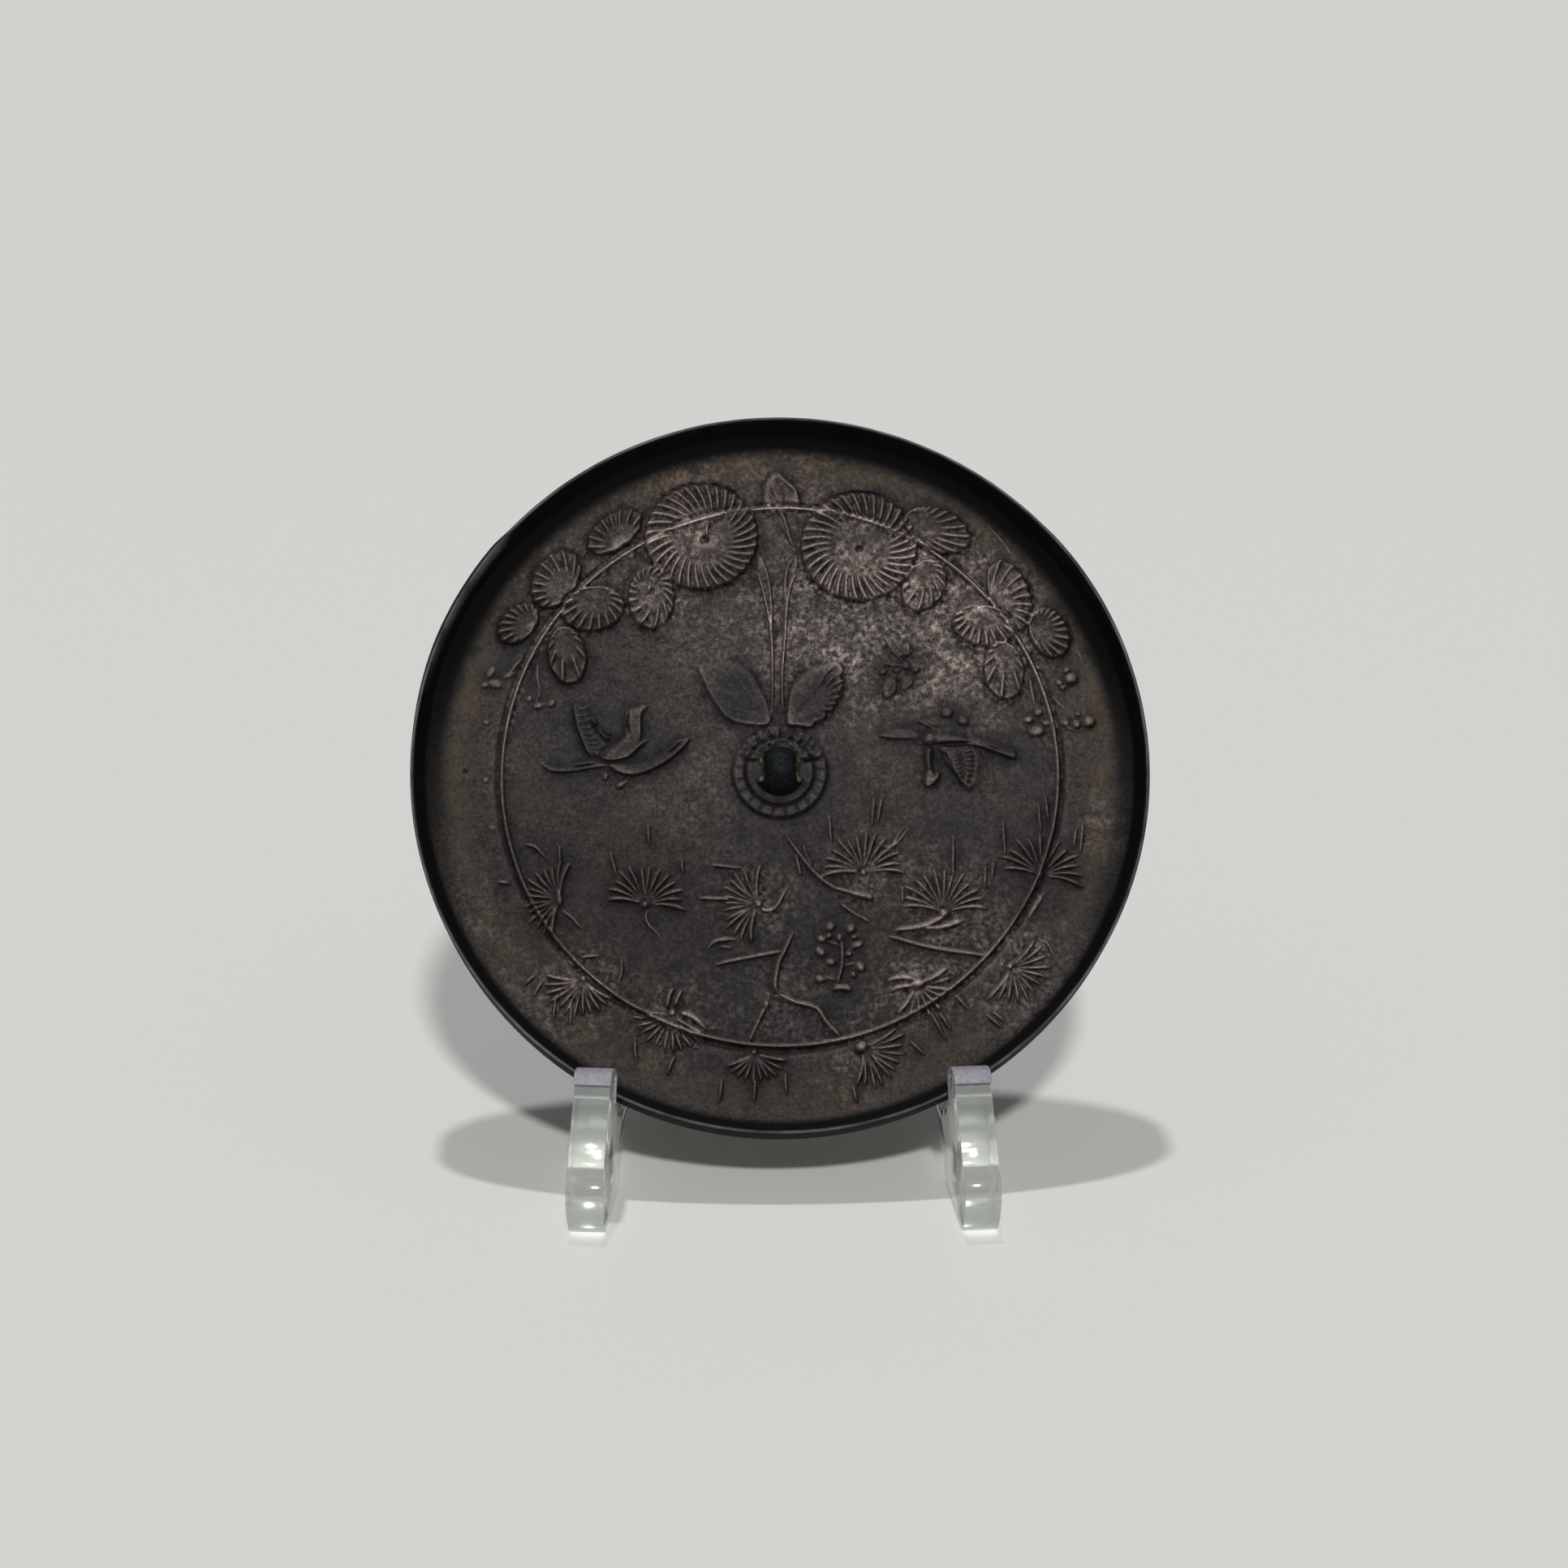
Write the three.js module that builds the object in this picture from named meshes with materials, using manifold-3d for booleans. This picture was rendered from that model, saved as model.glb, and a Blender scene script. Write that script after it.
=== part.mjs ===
// A cast bronze mirror, seen from its decorated back, standing in two clear acrylic legs.
// Millimetres, +Z up. The decorated back looks towards -Y and leans back. The legs stand on Z = 0.

import * as THREE from 'three';
import { mergeVertices } from 'three/addons/utils/BufferGeometryUtils.js';
import Module from 'manifold-3d';

const wasm = await Module();
wasm.setup();
const radians = THREE.MathUtils.degToRad;

// ------------------------------------------------------------------ driving sizes

const MIRROR_RADIUS = 52.5;
const RIM_HEIGHT = 5.8; // lip to the edge of the polished face
const FIELD_DEPTH = 4.0; // lip down to the decorated field
const LIP_WIDTH = 0.6;
const WALL_RUN = 1.3; // how far the inner wall of the rim slopes in on its way down
const FILLET = 1.9; // width of the hollow curve where the wall meets the field
const FILLET_RISE = 0.8;
const FACE_CROWN = 0.4; // the polished face is slightly domed
const EDGE_BEVEL = 0.3;
const LEAN = 31.7; // degrees that the mirror leans back from upright

const RING_RADIUS = 39.6;
const RING_WIDTH = 0.7;
const RING_HEIGHT = 0.5;

const KNOB_RADIUS = 3.55;
const KNOB_HEIGHT = 3.5;
const CORD_HOLE_RADIUS = 1.05;
const CORD_MOUTH_RADIUS = 1.9;
const CORD_HOLE_SHIFT = 0.3; // the hole lies a little above the middle of the knob
const SEAT_RADIUS = 5.3;
const SEAT_HEIGHT = 0.35;
const BEAD_RING_RADIUS = 6.75;
const BEADS = 24;
const BEAD_HEIGHT = 0.45;

const LEG_THICKNESS = 5;
const PAD_WIDTH = 5.2; // across the leg, a little wider than the plate
const LEG_SPACING = 25.35; // middle of the mirror to the middle of each leg, at the slot
const LEG_TOE_IN = 5; // degrees that each leg turns in towards the back
const SLOT_AT = -24; // how far the slots lie in front of the middle of the lip
const PAD_THICKNESS = 0.5;
const GAP = 0.3; // clear space left between touching pieces
const SLOT_CLEARANCE = GAP + (PAD_WIDTH / 2) * Math.sin(radians(LEG_TOE_IN)) + 0.03;

const SUNK = 0.4; // how far each raised motif reaches down into the plate

// ------------------------------------------------------------------ solids

function meshOf(points, faces) {
  const geometry = new THREE.BufferGeometry();
  geometry.setAttribute('position', new THREE.Float32BufferAttribute(points.flat(), 3));
  geometry.setIndex(faces.flat());
  return geometry;
}

function solidOf(geometry) {
  const bare = geometry.clone();
  bare.deleteAttribute('normal');
  bare.deleteAttribute('uv');
  const merged = mergeVertices(bare, 1e-4);
  return new wasm.Manifold(new wasm.Mesh({
    numProp: 3,
    vertProperties: new Float32Array(merged.attributes.position.array),
    triVerts: new Uint32Array(merged.index.array),
  }));
}

function geometryOf(solid) {
  const mesh = solid.getMesh();
  const geometry = new THREE.BufferGeometry();
  geometry.setAttribute('position', new THREE.Float32BufferAttribute(mesh.vertProperties, 3));
  geometry.setIndex(new THREE.Uint32BufferAttribute(mesh.triVerts, 1));
  return geometry;
}

// A closed skin over a stack of rings of equal length, from the lowest ring to the highest.
// A ring of one point closes the skin to that point.
function skin(rings) {
  const points = [];
  const starts = rings.map((ring) => {
    const start = points.length;
    points.push(...ring);
    return start;
  });
  const faces = [];
  for (let level = 0; level + 1 < rings.length; level++) {
    const low = rings[level];
    const high = rings[level + 1];
    const count = Math.max(low.length, high.length);
    for (let i = 0; i < count; i++) {
      const next = (i + 1) % count;
      const a = starts[level] + (low.length > 1 ? i : 0);
      const b = starts[level] + (low.length > 1 ? next : 0);
      const c = starts[level + 1] + (high.length > 1 ? next : 0);
      const d = starts[level + 1] + (high.length > 1 ? i : 0);
      if (low.length > 1) faces.push([a, b, high.length > 1 ? c : d]);
      if (high.length > 1) faces.push([a, c, d]);
    }
  }
  return solidOf(meshOf(points, faces));
}

function lathe(profile, segments) {
  const geometry = new THREE.LatheGeometry(profile.map(([r, z]) => new THREE.Vector2(r, z)), segments);
  geometry.rotateX(Math.PI / 2);
  return geometry;
}

// ------------------------------------------------------------------ relief, in the plane of the field
// x runs to the right and y up the mirror. z = 0 is the lip, so the field lies at z = -FIELD_DEPTH.

const FIELD = -FIELD_DEPTH;

// A raised line with a roof-shaped section along a few points, tapering out at both ends.
function ridge(path, width, height) {
  const points = path.length > 2
    ? path
    : [path[0], [(path[0][0] + path[1][0]) / 2, (path[0][1] + path[1][1]) / 2], path[1]];
  const base = (width / 2) * (height + SUNK) / height;
  const tip = ([x, y]) => [[x, y, FIELD - 0.03]];
  const rings = [tip(points[0])];
  for (let i = 1; i + 1 < points.length; i++) {
    const along = new THREE.Vector2(points[i + 1][0] - points[i - 1][0], points[i + 1][1] - points[i - 1][1]);
    along.normalize();
    const [x, y] = points[i];
    rings.push([
      [x + along.y * base, y - along.x * base, FIELD - SUNK],
      [x - along.y * base, y + along.x * base, FIELD - SUNK],
      [x, y, FIELD + height],
    ]);
  }
  rings.push(tip(points[points.length - 1]));
  return skin(rings);
}

// A low oval mound: buds, berries and studs.
function boss(x, y, radius, height, stretch = 1, turn = 0, sides = 6) {
  const oval = (scale, z) => {
    const ring = [];
    for (let i = 0; i < sides; i++) {
      const angle = (i / sides) * 2 * Math.PI;
      const along = Math.cos(angle) * radius * stretch * scale;
      const across = Math.sin(angle) * radius * scale;
      const c = Math.cos(radians(turn));
      const s = Math.sin(radians(turn));
      ring.push([x + along * c - across * s, y + along * s + across * c, z]);
    }
    return ring;
  };
  return skin([
    [[x, y, FIELD - SUNK]],
    oval(1.1, FIELD - SUNK),
    oval(0.7, FIELD + height * 0.8),
    [[x, y, FIELD + height]],
  ]);
}

// An oval blossom or leaf whose petals run out from a heart to a scalloped edge.
// The heart may lie off the middle, as it does on a blossom seen from its side.
function petals({ x, y, long, wide, turn, heart, count, height, from = 0, to = 360 }) {
  const c = Math.cos(radians(turn));
  const s = Math.sin(radians(turn));
  const edge = (angle, scale, z) => {
    const along = Math.cos(angle) * long;
    const across = Math.sin(angle) * wide;
    const px = x + along * c - across * s;
    const py = y + along * s + across * c;
    return [heart[0] + (px - heart[0]) * scale, heart[1] + (py - heart[1]) * scale, z];
  };
  const low = [];
  const rim = [];
  const middle = [];
  const rays = 2 * count;
  for (let i = 0; i < rays; i++) {
    const share = i / rays;
    const angle = radians(from + (to - from) * share);
    const onRidge = i % 2 === 0;
    low.push(edge(angle, onRidge ? 1.04 : 0.98, FIELD - SUNK));
    rim.push(edge(angle, onRidge ? 0.94 : 0.9, FIELD + height * (onRidge ? 1 : 0.5)));
    middle.push(edge(angle, 0.4, FIELD + height * (onRidge ? 0.9 : 0.7)));
  }
  return skin([
    [[heart[0], heart[1], FIELD - SUNK]],
    low,
    rim,
    middle,
    [[heart[0], heart[1], FIELD + height * 0.6]],
  ]);
}

// A tuft of pine needles spreading from one point.
function needles({ x, y, facing, spread, count, length, height }) {
  const tuft = [];
  for (let i = 0; i < count; i++) {
    const angle = radians(facing + spread * (i / (count - 1) - 0.5));
    const reach = length * (0.9 + 0.12 * Math.cos(3 * i));
    const at = (distance) => [x + Math.cos(angle) * distance, y + Math.sin(angle) * distance];
    tuft.push(ridge([at(reach * 0.16), at(reach)], 0.55, height));
  }
  return tuft;
}

const BLOSSOMS = [
  { x: -11.2, y: 35.2, long: 8.3, wide: 8.1, turn: 0, heart: [-10.7, 34.9], count: 26, height: 0.6 },
  { x: 11.6, y: 33.7, long: 8.6, wide: 8.4, turn: 0, heart: [11.8, 33.5], count: 26, height: 0.6 },
];

// Half-open blossoms and lobed leaves on either side, each with its heart where its petals meet.
const SIDE_BLOSSOMS = [
  { x: -23.9, y: 36.3, long: 5.0, wide: 2.7, turn: 28, heart: [-20.7, 36.4] },
  { x: -32.6, y: 28.9, long: 4.9, wide: 3.2, turn: 65, heart: [-30.3, 28.4] },
  { x: -26.7, y: 24.2, long: 4.6, wide: 3.5, turn: 10, heart: [-26.1, 26.9] },
  { x: -18.5, y: 26.0, long: 4.9, wide: 3.5, turn: 90, heart: [-18.6, 27.6] },
  { x: -37.7, y: 22.2, long: 3.5, wide: 2.5, turn: 50, heart: [-35.9, 21.7] },
  { x: -30.6, y: 17.4, long: 4.5, wide: 2.8, turn: 100, heart: [-31.2, 20.9] },
  { x: 23.4, y: 36.2, long: 5.1, wide: 3.3, turn: -22, heart: [20.4, 36.3] },
  { x: 21.0, y: 27.6, long: 4.2, wide: 3.2, turn: 62, heart: [20.5, 29.5] },
  { x: 33.8, y: 26.2, long: 5.9, wide: 2.9, turn: 106, heart: [31.7, 25.3] },
  { x: 29.6, y: 21.6, long: 4.6, wide: 3.2, turn: -12, heart: [29.3, 24.1] },
  { x: 39.4, y: 20.4, long: 4.2, wide: 2.7, turn: 105, heart: [37.4, 20.2] },
  { x: 32.3, y: 14.8, long: 4.5, wide: 3.1, turn: 95, heart: [32.7, 17.9] },
  { x: -6.9, y: 11.9, long: 6.2, wide: 3.9, turn: 133, heart: [-2.9, 7.9] },
  { x: 5.2, y: 11.3, long: 5.6, wide: 3.6, turn: 55, heart: [2.4, 7.6] },
  { x: 0.5, y: 42.5, long: 3.2, wide: 2.5, turn: 102, heart: [0.9, 40.4] },
];

const TUFTS = [
  { x: 11.8, y: -14.9, facing: 95, spread: 190, count: 13, length: 5.6 },
  { x: 23.0, y: -20.8, facing: 88, spread: 172, count: 12, length: 6.2 },
  { x: 37.0, y: -15.4, facing: 78, spread: 180, count: 12, length: 5.7 },
  { x: -19.2, y: -19.4, facing: 84, spread: 178, count: 12, length: 5.8 },
  { x: -3.1, y: -19.4, facing: 172, spread: 172, count: 12, length: 5.5 },
  { x: -31.2, y: -18.8, facing: 172, spread: 180, count: 12, length: 5.3 },
  { x: -27.8, y: -30.0, facing: 250, spread: 146, count: 11, length: 5.4 },
  { x: -15.3, y: -35.0, facing: 252, spread: 160, count: 11, length: 5.6 },
  { x: -3.8, y: -40.4, facing: 275, spread: 136, count: 8, length: 5.0 },
  { x: 11.3, y: -39.9, facing: 325, spread: 130, count: 9, length: 6.1 },
  { x: 19.0, y: -30.9, facing: 312, spread: 146, count: 9, length: 5.3 },
  { x: 32.3, y: -28.5, facing: 320, spread: 172, count: 11, length: 5.3 },
];

// Single fallen needles, each from one end to the other.
const LOOSE_NEEDLES = [
  [[7.0, -6.2], [7.4, -10.8]], [[13.5, -3.6], [13.2, -8.2]], [[14.6, -3.6], [13.9, -7.4]],
  [[18.3, -8.0], [15.4, -12.6]], [[24.8, -9.2], [24.4, -14.8]], [[30.3, -13.2], [29.9, -17.2]],
  [[31.9, -7.0], [32.1, -12.4]], [[36.9, -5.2], [37.1, -9.6]], [[38.0, -2.8], [38.4, -6.6]],
  [[43.5, -7.6], [42.9, -12.0]], [[-24.1, -11.6], [-23.1, -15.4]], [[-18.6, -7.6], [-18.8, -10.4]],
  [[-14.2, -12.6], [-14.1, -15.0]], [[-10.0, -13.7], [-5.6, -14.2]], [[-36.2, -10.5], [-33.2, -12.7]],
  [[-31.5, -10.6], [-31.2, -13.8]], [[-35.0, -32.6], [-33.2, -30.0]], [[-8.5, -43.8], [-8.7, -47.4]],
  [[-3.7, -44.2], [-3.8, -47.2]], [[29.0, -35.2], [31.2, -37.2]], [[21.3, -35.2], [23.2, -39.0]],
  [[24.5, -32.8], [26.4, -34.8]], [[-28.6, -27.1], [-25.6, -26.7]], [[-22.5, -27.2], [-23.1, -31.0]],
];

// Boughs and flower stems: points, width and height.
const STEMS = [
  { path: [[-3.3, 31.9], [-2.1, 28.0], [-1.2, 24.0], [-0.9, 15.0], [-1.2, 7.8]], width: 1.0, height: 0.45 },
  { path: [[2.9, 31.4], [1.7, 28.2], [1.1, 24.0], [0.4, 14.5], [0.6, 7.8]], width: 1.0, height: 0.45 },
  { path: [[0.3, 39.4], [1.5, 36.0], [2.6, 32.8]], width: 1.2, height: 0.4 },
  { path: [[0.9, -9.4], [2.2, -12.6], [3.0, -16.8]], width: 0.6, height: 0.22 },
  { path: [[1.4, -9.4], [4.4, -13.6], [7.6, -16.8], [13.2, -18.7]], width: 0.8, height: 0.3 },
  { path: [[8.6, -19.3], [11.0, -21.2], [13.2, -22.2]], width: 0.7, height: 0.25 },
  { path: [[17.8, -24.7], [22.6, -26.3], [29.2, -27.1]], width: 0.8, height: 0.3 },
  { path: [[16.6, -23.2], [20.2, -22.7], [23.2, -21.2]], width: 1.0, height: 0.4 },
  { path: [[20.6, -23.2], [23.6, -22.8], [25.8, -22.0]], width: 0.9, height: 0.35 },
  { path: [[1.8, -23.4], [0.3, -26.6], [-0.6, -30.8], [-0.4, -32.2], [5.0, -34.4], [8.4, -38.6]],
    width: 0.8, height: 0.35 },
  { path: [[0.3, -26.1], [-3.6, -27.4], [-11.0, -28.7]], width: 0.7, height: 0.28 },
  { path: [[-2.4, -34.4], [-3.4, -37.2], [-4.6, -39.4]], width: 0.8, height: 0.3 },
  { path: [[-12.2, -18.4], [-9.4, -18.5], [-6.0, -19.0]], width: 0.8, height: 0.3 },
  { path: [[-3.0, -19.9], [-1.8, -20.4], [-0.4, -19.6], [1.0, -16.8]], width: 0.9, height: 0.4 },
  { path: [[-19.2, -20.2], [-18.8, -22.2], [-16.8, -24.2]], width: 0.9, height: 0.35 },
  { path: [[-31.4, -20.2], [-29.6, -21.6], [-28.0, -23.0]], width: 0.8, height: 0.3 },
  { path: [[37.0, -16.0], [36.2, -19.2], [34.8, -21.6]], width: 1.2, height: 0.3 },
  { path: [[-9.4, -24.7], [-7.6, -24.5], [-6.0, -24.9]], width: 0.9, height: 0.3 },
  { path: [[8.3, -23.4], [8.7, -26.8], [7.9, -31.2]], width: 0.8, height: 0.4 },
  { path: [[7.2, -31.9], [8.6, -31.6], [9.8, -32.1]], width: 1.0, height: 0.4 },
  { path: [[-34.9, 16.6], [-34.8, 13.8], [-34.2, 12.1]], width: 0.7, height: 0.25 },
  { path: [[36.1, 14.6], [36.4, 11.6], [37.0, 9.0]], width: 0.7, height: 0.25 },
];

// The two birds and the butterfly: bodies, wings and tails as broad strokes.
const WINGS = [
  { path: [[-34.4, 1.5], [-31.6, 0.5], [-28.0, 1.2], [-24.6, 1.5]], width: 0.8, height: 0.35 },
  { path: [[-25.0, 1.6], [-21.8, 0.5], [-18.6, 0.7], [-15.2, 2.6], [-12.6, 5.4]], width: 1.7, height: 0.55 },
  { path: [[-28.9, 10.6], [-27.9, 7.6], [-26.4, 4.6], [-24.6, 2.2]], width: 2.7, height: 0.55 },
  { path: [[-19.4, 9.8], [-20.4, 7.6], [-20.4, 5.2], [-21.8, 3.3], [-25.2, 1.7]], width: 1.7, height: 0.55 },
  { path: [[13.8, 5.4], [17.6, 5.8], [21.0, 4.9]], width: 1.7, height: 0.5 },
  { path: [[19.6, 4.6], [21.8, 4.9], [25.0, 4.7], [28.2, 4.2]], width: 1.7, height: 0.6 },
  { path: [[25.6, 4.6], [29.6, 3.9], [32.6, 2.8], [34.2, 2.2]], width: 1.1, height: 0.45 },
  { path: [[21.3, 4.4], [21.4, 1.4], [21.6, -0.6], [21.0, -2.6]], width: 1.7, height: 0.55 },
  { path: [[23.4, 4.4], [25.6, 2.4], [26.6, 0.2], [27.0, -3.0]], width: 2.9, height: 0.55 },
  { path: [[18.6, 15.0], [17.2, 13.2], [15.8, 12.2], [14.4, 11.2]], width: 2.4, height: 0.5 },
  { path: [[15.2, 20.4], [16.2, 18.4], [17.4, 16.8]], width: 1.0, height: 0.35 },
  { path: [[17.0, 19.8], [18.0, 18.0], [19.0, 16.0]], width: 2.2, height: 0.4 },
  { path: [[14.8, 15.9], [16.4, 15.7], [18.0, 15.2]], width: 0.6, height: 0.25 },
];

// Buds, berries and studs: place, radius, height, and how far and which way each is drawn out.
const BOSSES = [
  [-24.9, -0.7, 0.6, 0.45, 1.3, 90], [-22.8, -1.9, 0.6, 0.45, 1.4, 30], [24.1, 8.6, 0.8, 0.5, 1.2, 0],
  [26.4, 7.3, 0.8, 0.5, 1.2, 0], [-18.8, 27.5, 0.5, 0.9, 1.2, 70], [6.9, -22.8, 0.9, 0.5, 1.0, 0],
  [9.9, -23.1, 0.8, 0.4, 1.3, 40], [5.7, -26.2, 0.9, 0.5, 1.3, -30], [10.6, -25.4, 0.8, 0.5, 1.6, 10],
  [6.8, -27.9, 0.7, 0.4, 1.5, 0], [11.0, -28.4, 0.8, 0.5, 1.3, -50], [5.3, -30.1, 0.7, 0.4, 1.3, -20],
  [-15.6, -32.8, 0.6, 0.6, 2.0, 70], [-14.4, -32.8, 0.6, 0.6, 2.0, 70], [11.2, -39.8, 1.0, 0.8, 1.0, 0],
  [-31.4, -17.6, 0.6, 0.5, 2.2, 88], [-2.2, -33.9, 0.5, 0.4, 1.2, 80], [23.0, -21.0, 0.7, 0.6, 1.0, 0],
  [41.9, 13.7, 1.1, 0.5, 1.2, -20], [40.7, 14.8, 0.7, 0.4, 1.0, 0], [40.6, 12.7, 0.6, 0.4, 1.0, 0],
  [37.6, 8.4, 0.7, 0.5, 1.2, 30], [35.9, 7.5, 0.7, 0.4, 1.3, 20], [36.6, 6.0, 0.9, 0.5, 1.6, 15],
  [44.2, 7.0, 1.0, 0.5, 1.2, 20], [42.0, 6.8, 0.8, 0.4, 1.3, 0], [-41.0, 13.6, 1.4, 0.35, 1.2, -20],
  [-34.3, 10.8, 1.0, 0.4, 1.8, 0], [-38.8, 14.8, 0.9, 0.3, 1.8, 40], [16.9, -33.6, 1.2, 0.4, 1.3, 40],
];

function ringLine() {
  const half = (RING_WIDTH / 2) * (RING_HEIGHT + SUNK) / RING_HEIGHT;
  const section = [
    [RING_RADIUS - half, FIELD - SUNK],
    [RING_RADIUS + half, FIELD - SUNK],
    [RING_RADIUS, FIELD + RING_HEIGHT],
    [RING_RADIUS - half, FIELD - SUNK],
  ];
  return solidOf(lathe(section, 72));
}

function seatAndKnob() {
  const beadRing = [[[0, 0, FIELD - SUNK]], [], [], []];
  for (let i = 0; i < 2 * BEADS; i++) {
    const angle = (i / (2 * BEADS)) * 2 * Math.PI;
    const crest = i % 2 === 0;
    const at = (radius, z) => [Math.cos(angle) * radius, Math.sin(angle) * radius, z];
    const outer = BEAD_RING_RADIUS + (crest ? 0.2 : 0);
    beadRing[1].push(at(outer, FIELD - SUNK));
    beadRing[2].push(at((SEAT_RADIUS + outer) / 2, FIELD + (crest ? BEAD_HEIGHT : 0.2)));
    beadRing[3].push(at(SEAT_RADIUS, FIELD + 0.12));
  }
  beadRing.push([[0, 0, FIELD + 0.12]]);

  const seat = lathe([
    [0, FIELD - SUNK], [SEAT_RADIUS - 0.15, FIELD - SUNK], [SEAT_RADIUS - 0.15, FIELD + SEAT_HEIGHT],
    [0, FIELD + SEAT_HEIGHT],
  ], 24);

  const dome = [[0, FIELD], [KNOB_RADIUS, FIELD]];
  const steps = 6;
  for (let i = 0; i <= steps; i++) {
    const angle = (i / steps) * Math.PI / 2;
    const radius = KNOB_RADIUS * Math.cos(angle);
    dome.push([i === steps ? 0 : radius, FIELD + SEAT_HEIGHT + KNOB_HEIGHT * Math.sin(angle)]);
  }

  // The cord hole runs across the knob and flares out to worn mouths at both ends.
  const mouth = KNOB_RADIUS + 0.5;
  const bore = new THREE.LatheGeometry([
    [0, -mouth], [CORD_MOUTH_RADIUS, -mouth], [CORD_HOLE_RADIUS, -1.7],
    [CORD_HOLE_RADIUS, 1.7], [CORD_MOUTH_RADIUS, mouth], [0, mouth],
  ].map(([r, y]) => new THREE.Vector2(r, y)), 12);
  bore.rotateZ(Math.PI / 2);
  bore.translate(0, CORD_HOLE_SHIFT, FIELD + SEAT_HEIGHT + CORD_MOUTH_RADIUS + 0.02);

  const knob = solidOf(lathe(dome, 24)).subtract(solidOf(bore));
  return [skin(beadRing), solidOf(seat), knob];
}

function mirrorSolid() {
  const wallTop = MIRROR_RADIUS - LIP_WIDTH;
  const wallFoot = wallTop - WALL_RUN;
  const plate = lathe([
    [0, -RIM_HEIGHT - FACE_CROWN],
    [MIRROR_RADIUS * 0.6, -RIM_HEIGHT - FACE_CROWN * 0.64],
    [MIRROR_RADIUS - EDGE_BEVEL, -RIM_HEIGHT],
    [MIRROR_RADIUS, -RIM_HEIGHT + EDGE_BEVEL],
    [MIRROR_RADIUS, -0.15],
    [MIRROR_RADIUS - 0.15, 0],
    [wallTop, 0],
    [wallFoot, FIELD + FILLET_RISE],
    [wallFoot - FILLET * 0.35, FIELD + FILLET_RISE * 0.3],
    [wallFoot - FILLET, FIELD],
    [0, FIELD],
  ], 80);

  const raised = [ringLine(), ...seatAndKnob()];
  for (const blossom of BLOSSOMS) raised.push(petals(blossom));
  for (const blossom of SIDE_BLOSSOMS) raised.push(petals({ ...blossom, count: 7, height: 0.5 }));
  for (const tuft of TUFTS) raised.push(...needles({ ...tuft, height: 0.35 }));
  for (const path of LOOSE_NEEDLES) raised.push(ridge(path, 0.6, 0.35));
  for (const { path, width, height } of [...STEMS, ...WINGS]) raised.push(ridge(path, width, height));
  for (const [x, y, radius, height, stretch, turn] of BOSSES) {
    raised.push(boss(x, y, radius, height, stretch, turn));
  }

  let solid = solidOf(plate);
  for (const motif of raised) solid = solid.add(motif);
  return solid.simplify(0.02);
}

// ------------------------------------------------------------------ where the mirror stands

const sinLean = Math.sin(radians(LEAN));
const cosLean = Math.cos(radians(LEAN));
const LIP_HEIGHT = 54.3; // middle of the lip above the surface

// The rim reaches lowest over a pad at the pad's inner edge. The slot floor lies under that,
// measured down the mirror from its middle.
const INNER_EDGE = LEG_SPACING - PAD_WIDTH / 2 - 0.1;
const RIM_REACH = Math.sqrt(MIRROR_RADIUS ** 2 - INNER_EDGE ** 2);
const SLOT_FLOOR = -(RIM_REACH + GAP + PAD_THICKNESS + GAP);

// A point out from the lip plane and up along it, as [forward-to-back, height] in a leg's own plane.
function beside(out, up) {
  return [up * sinLean - out * cosLean - SLOT_AT, LIP_HEIGHT + up * cosLean + out * sinLean];
}

const HOOK_BACK = SLOT_CLEARANCE + PAD_THICKNESS + GAP;
const HOOK_FRONT = 6.8;
const HOOK_TOP = -44.5;
const POST_FRONT = -RIM_HEIGHT - SLOT_CLEARANCE;
const POST_TOP = -12;
const POST_LEAN = 0.6; // the post leans away by this much at its top, clear of the domed face

const NOSE = [-17.0, 6.4]; // the foremost point of the toe
const FRONT_FOOT = [-14.0, 0.6]; // front foot, from its toe to the start of the arch
const ARCH_END = 36.0;
const REAR_FOOT = 46.5;
const ARCH_HEIGHT = 6.6;

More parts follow.
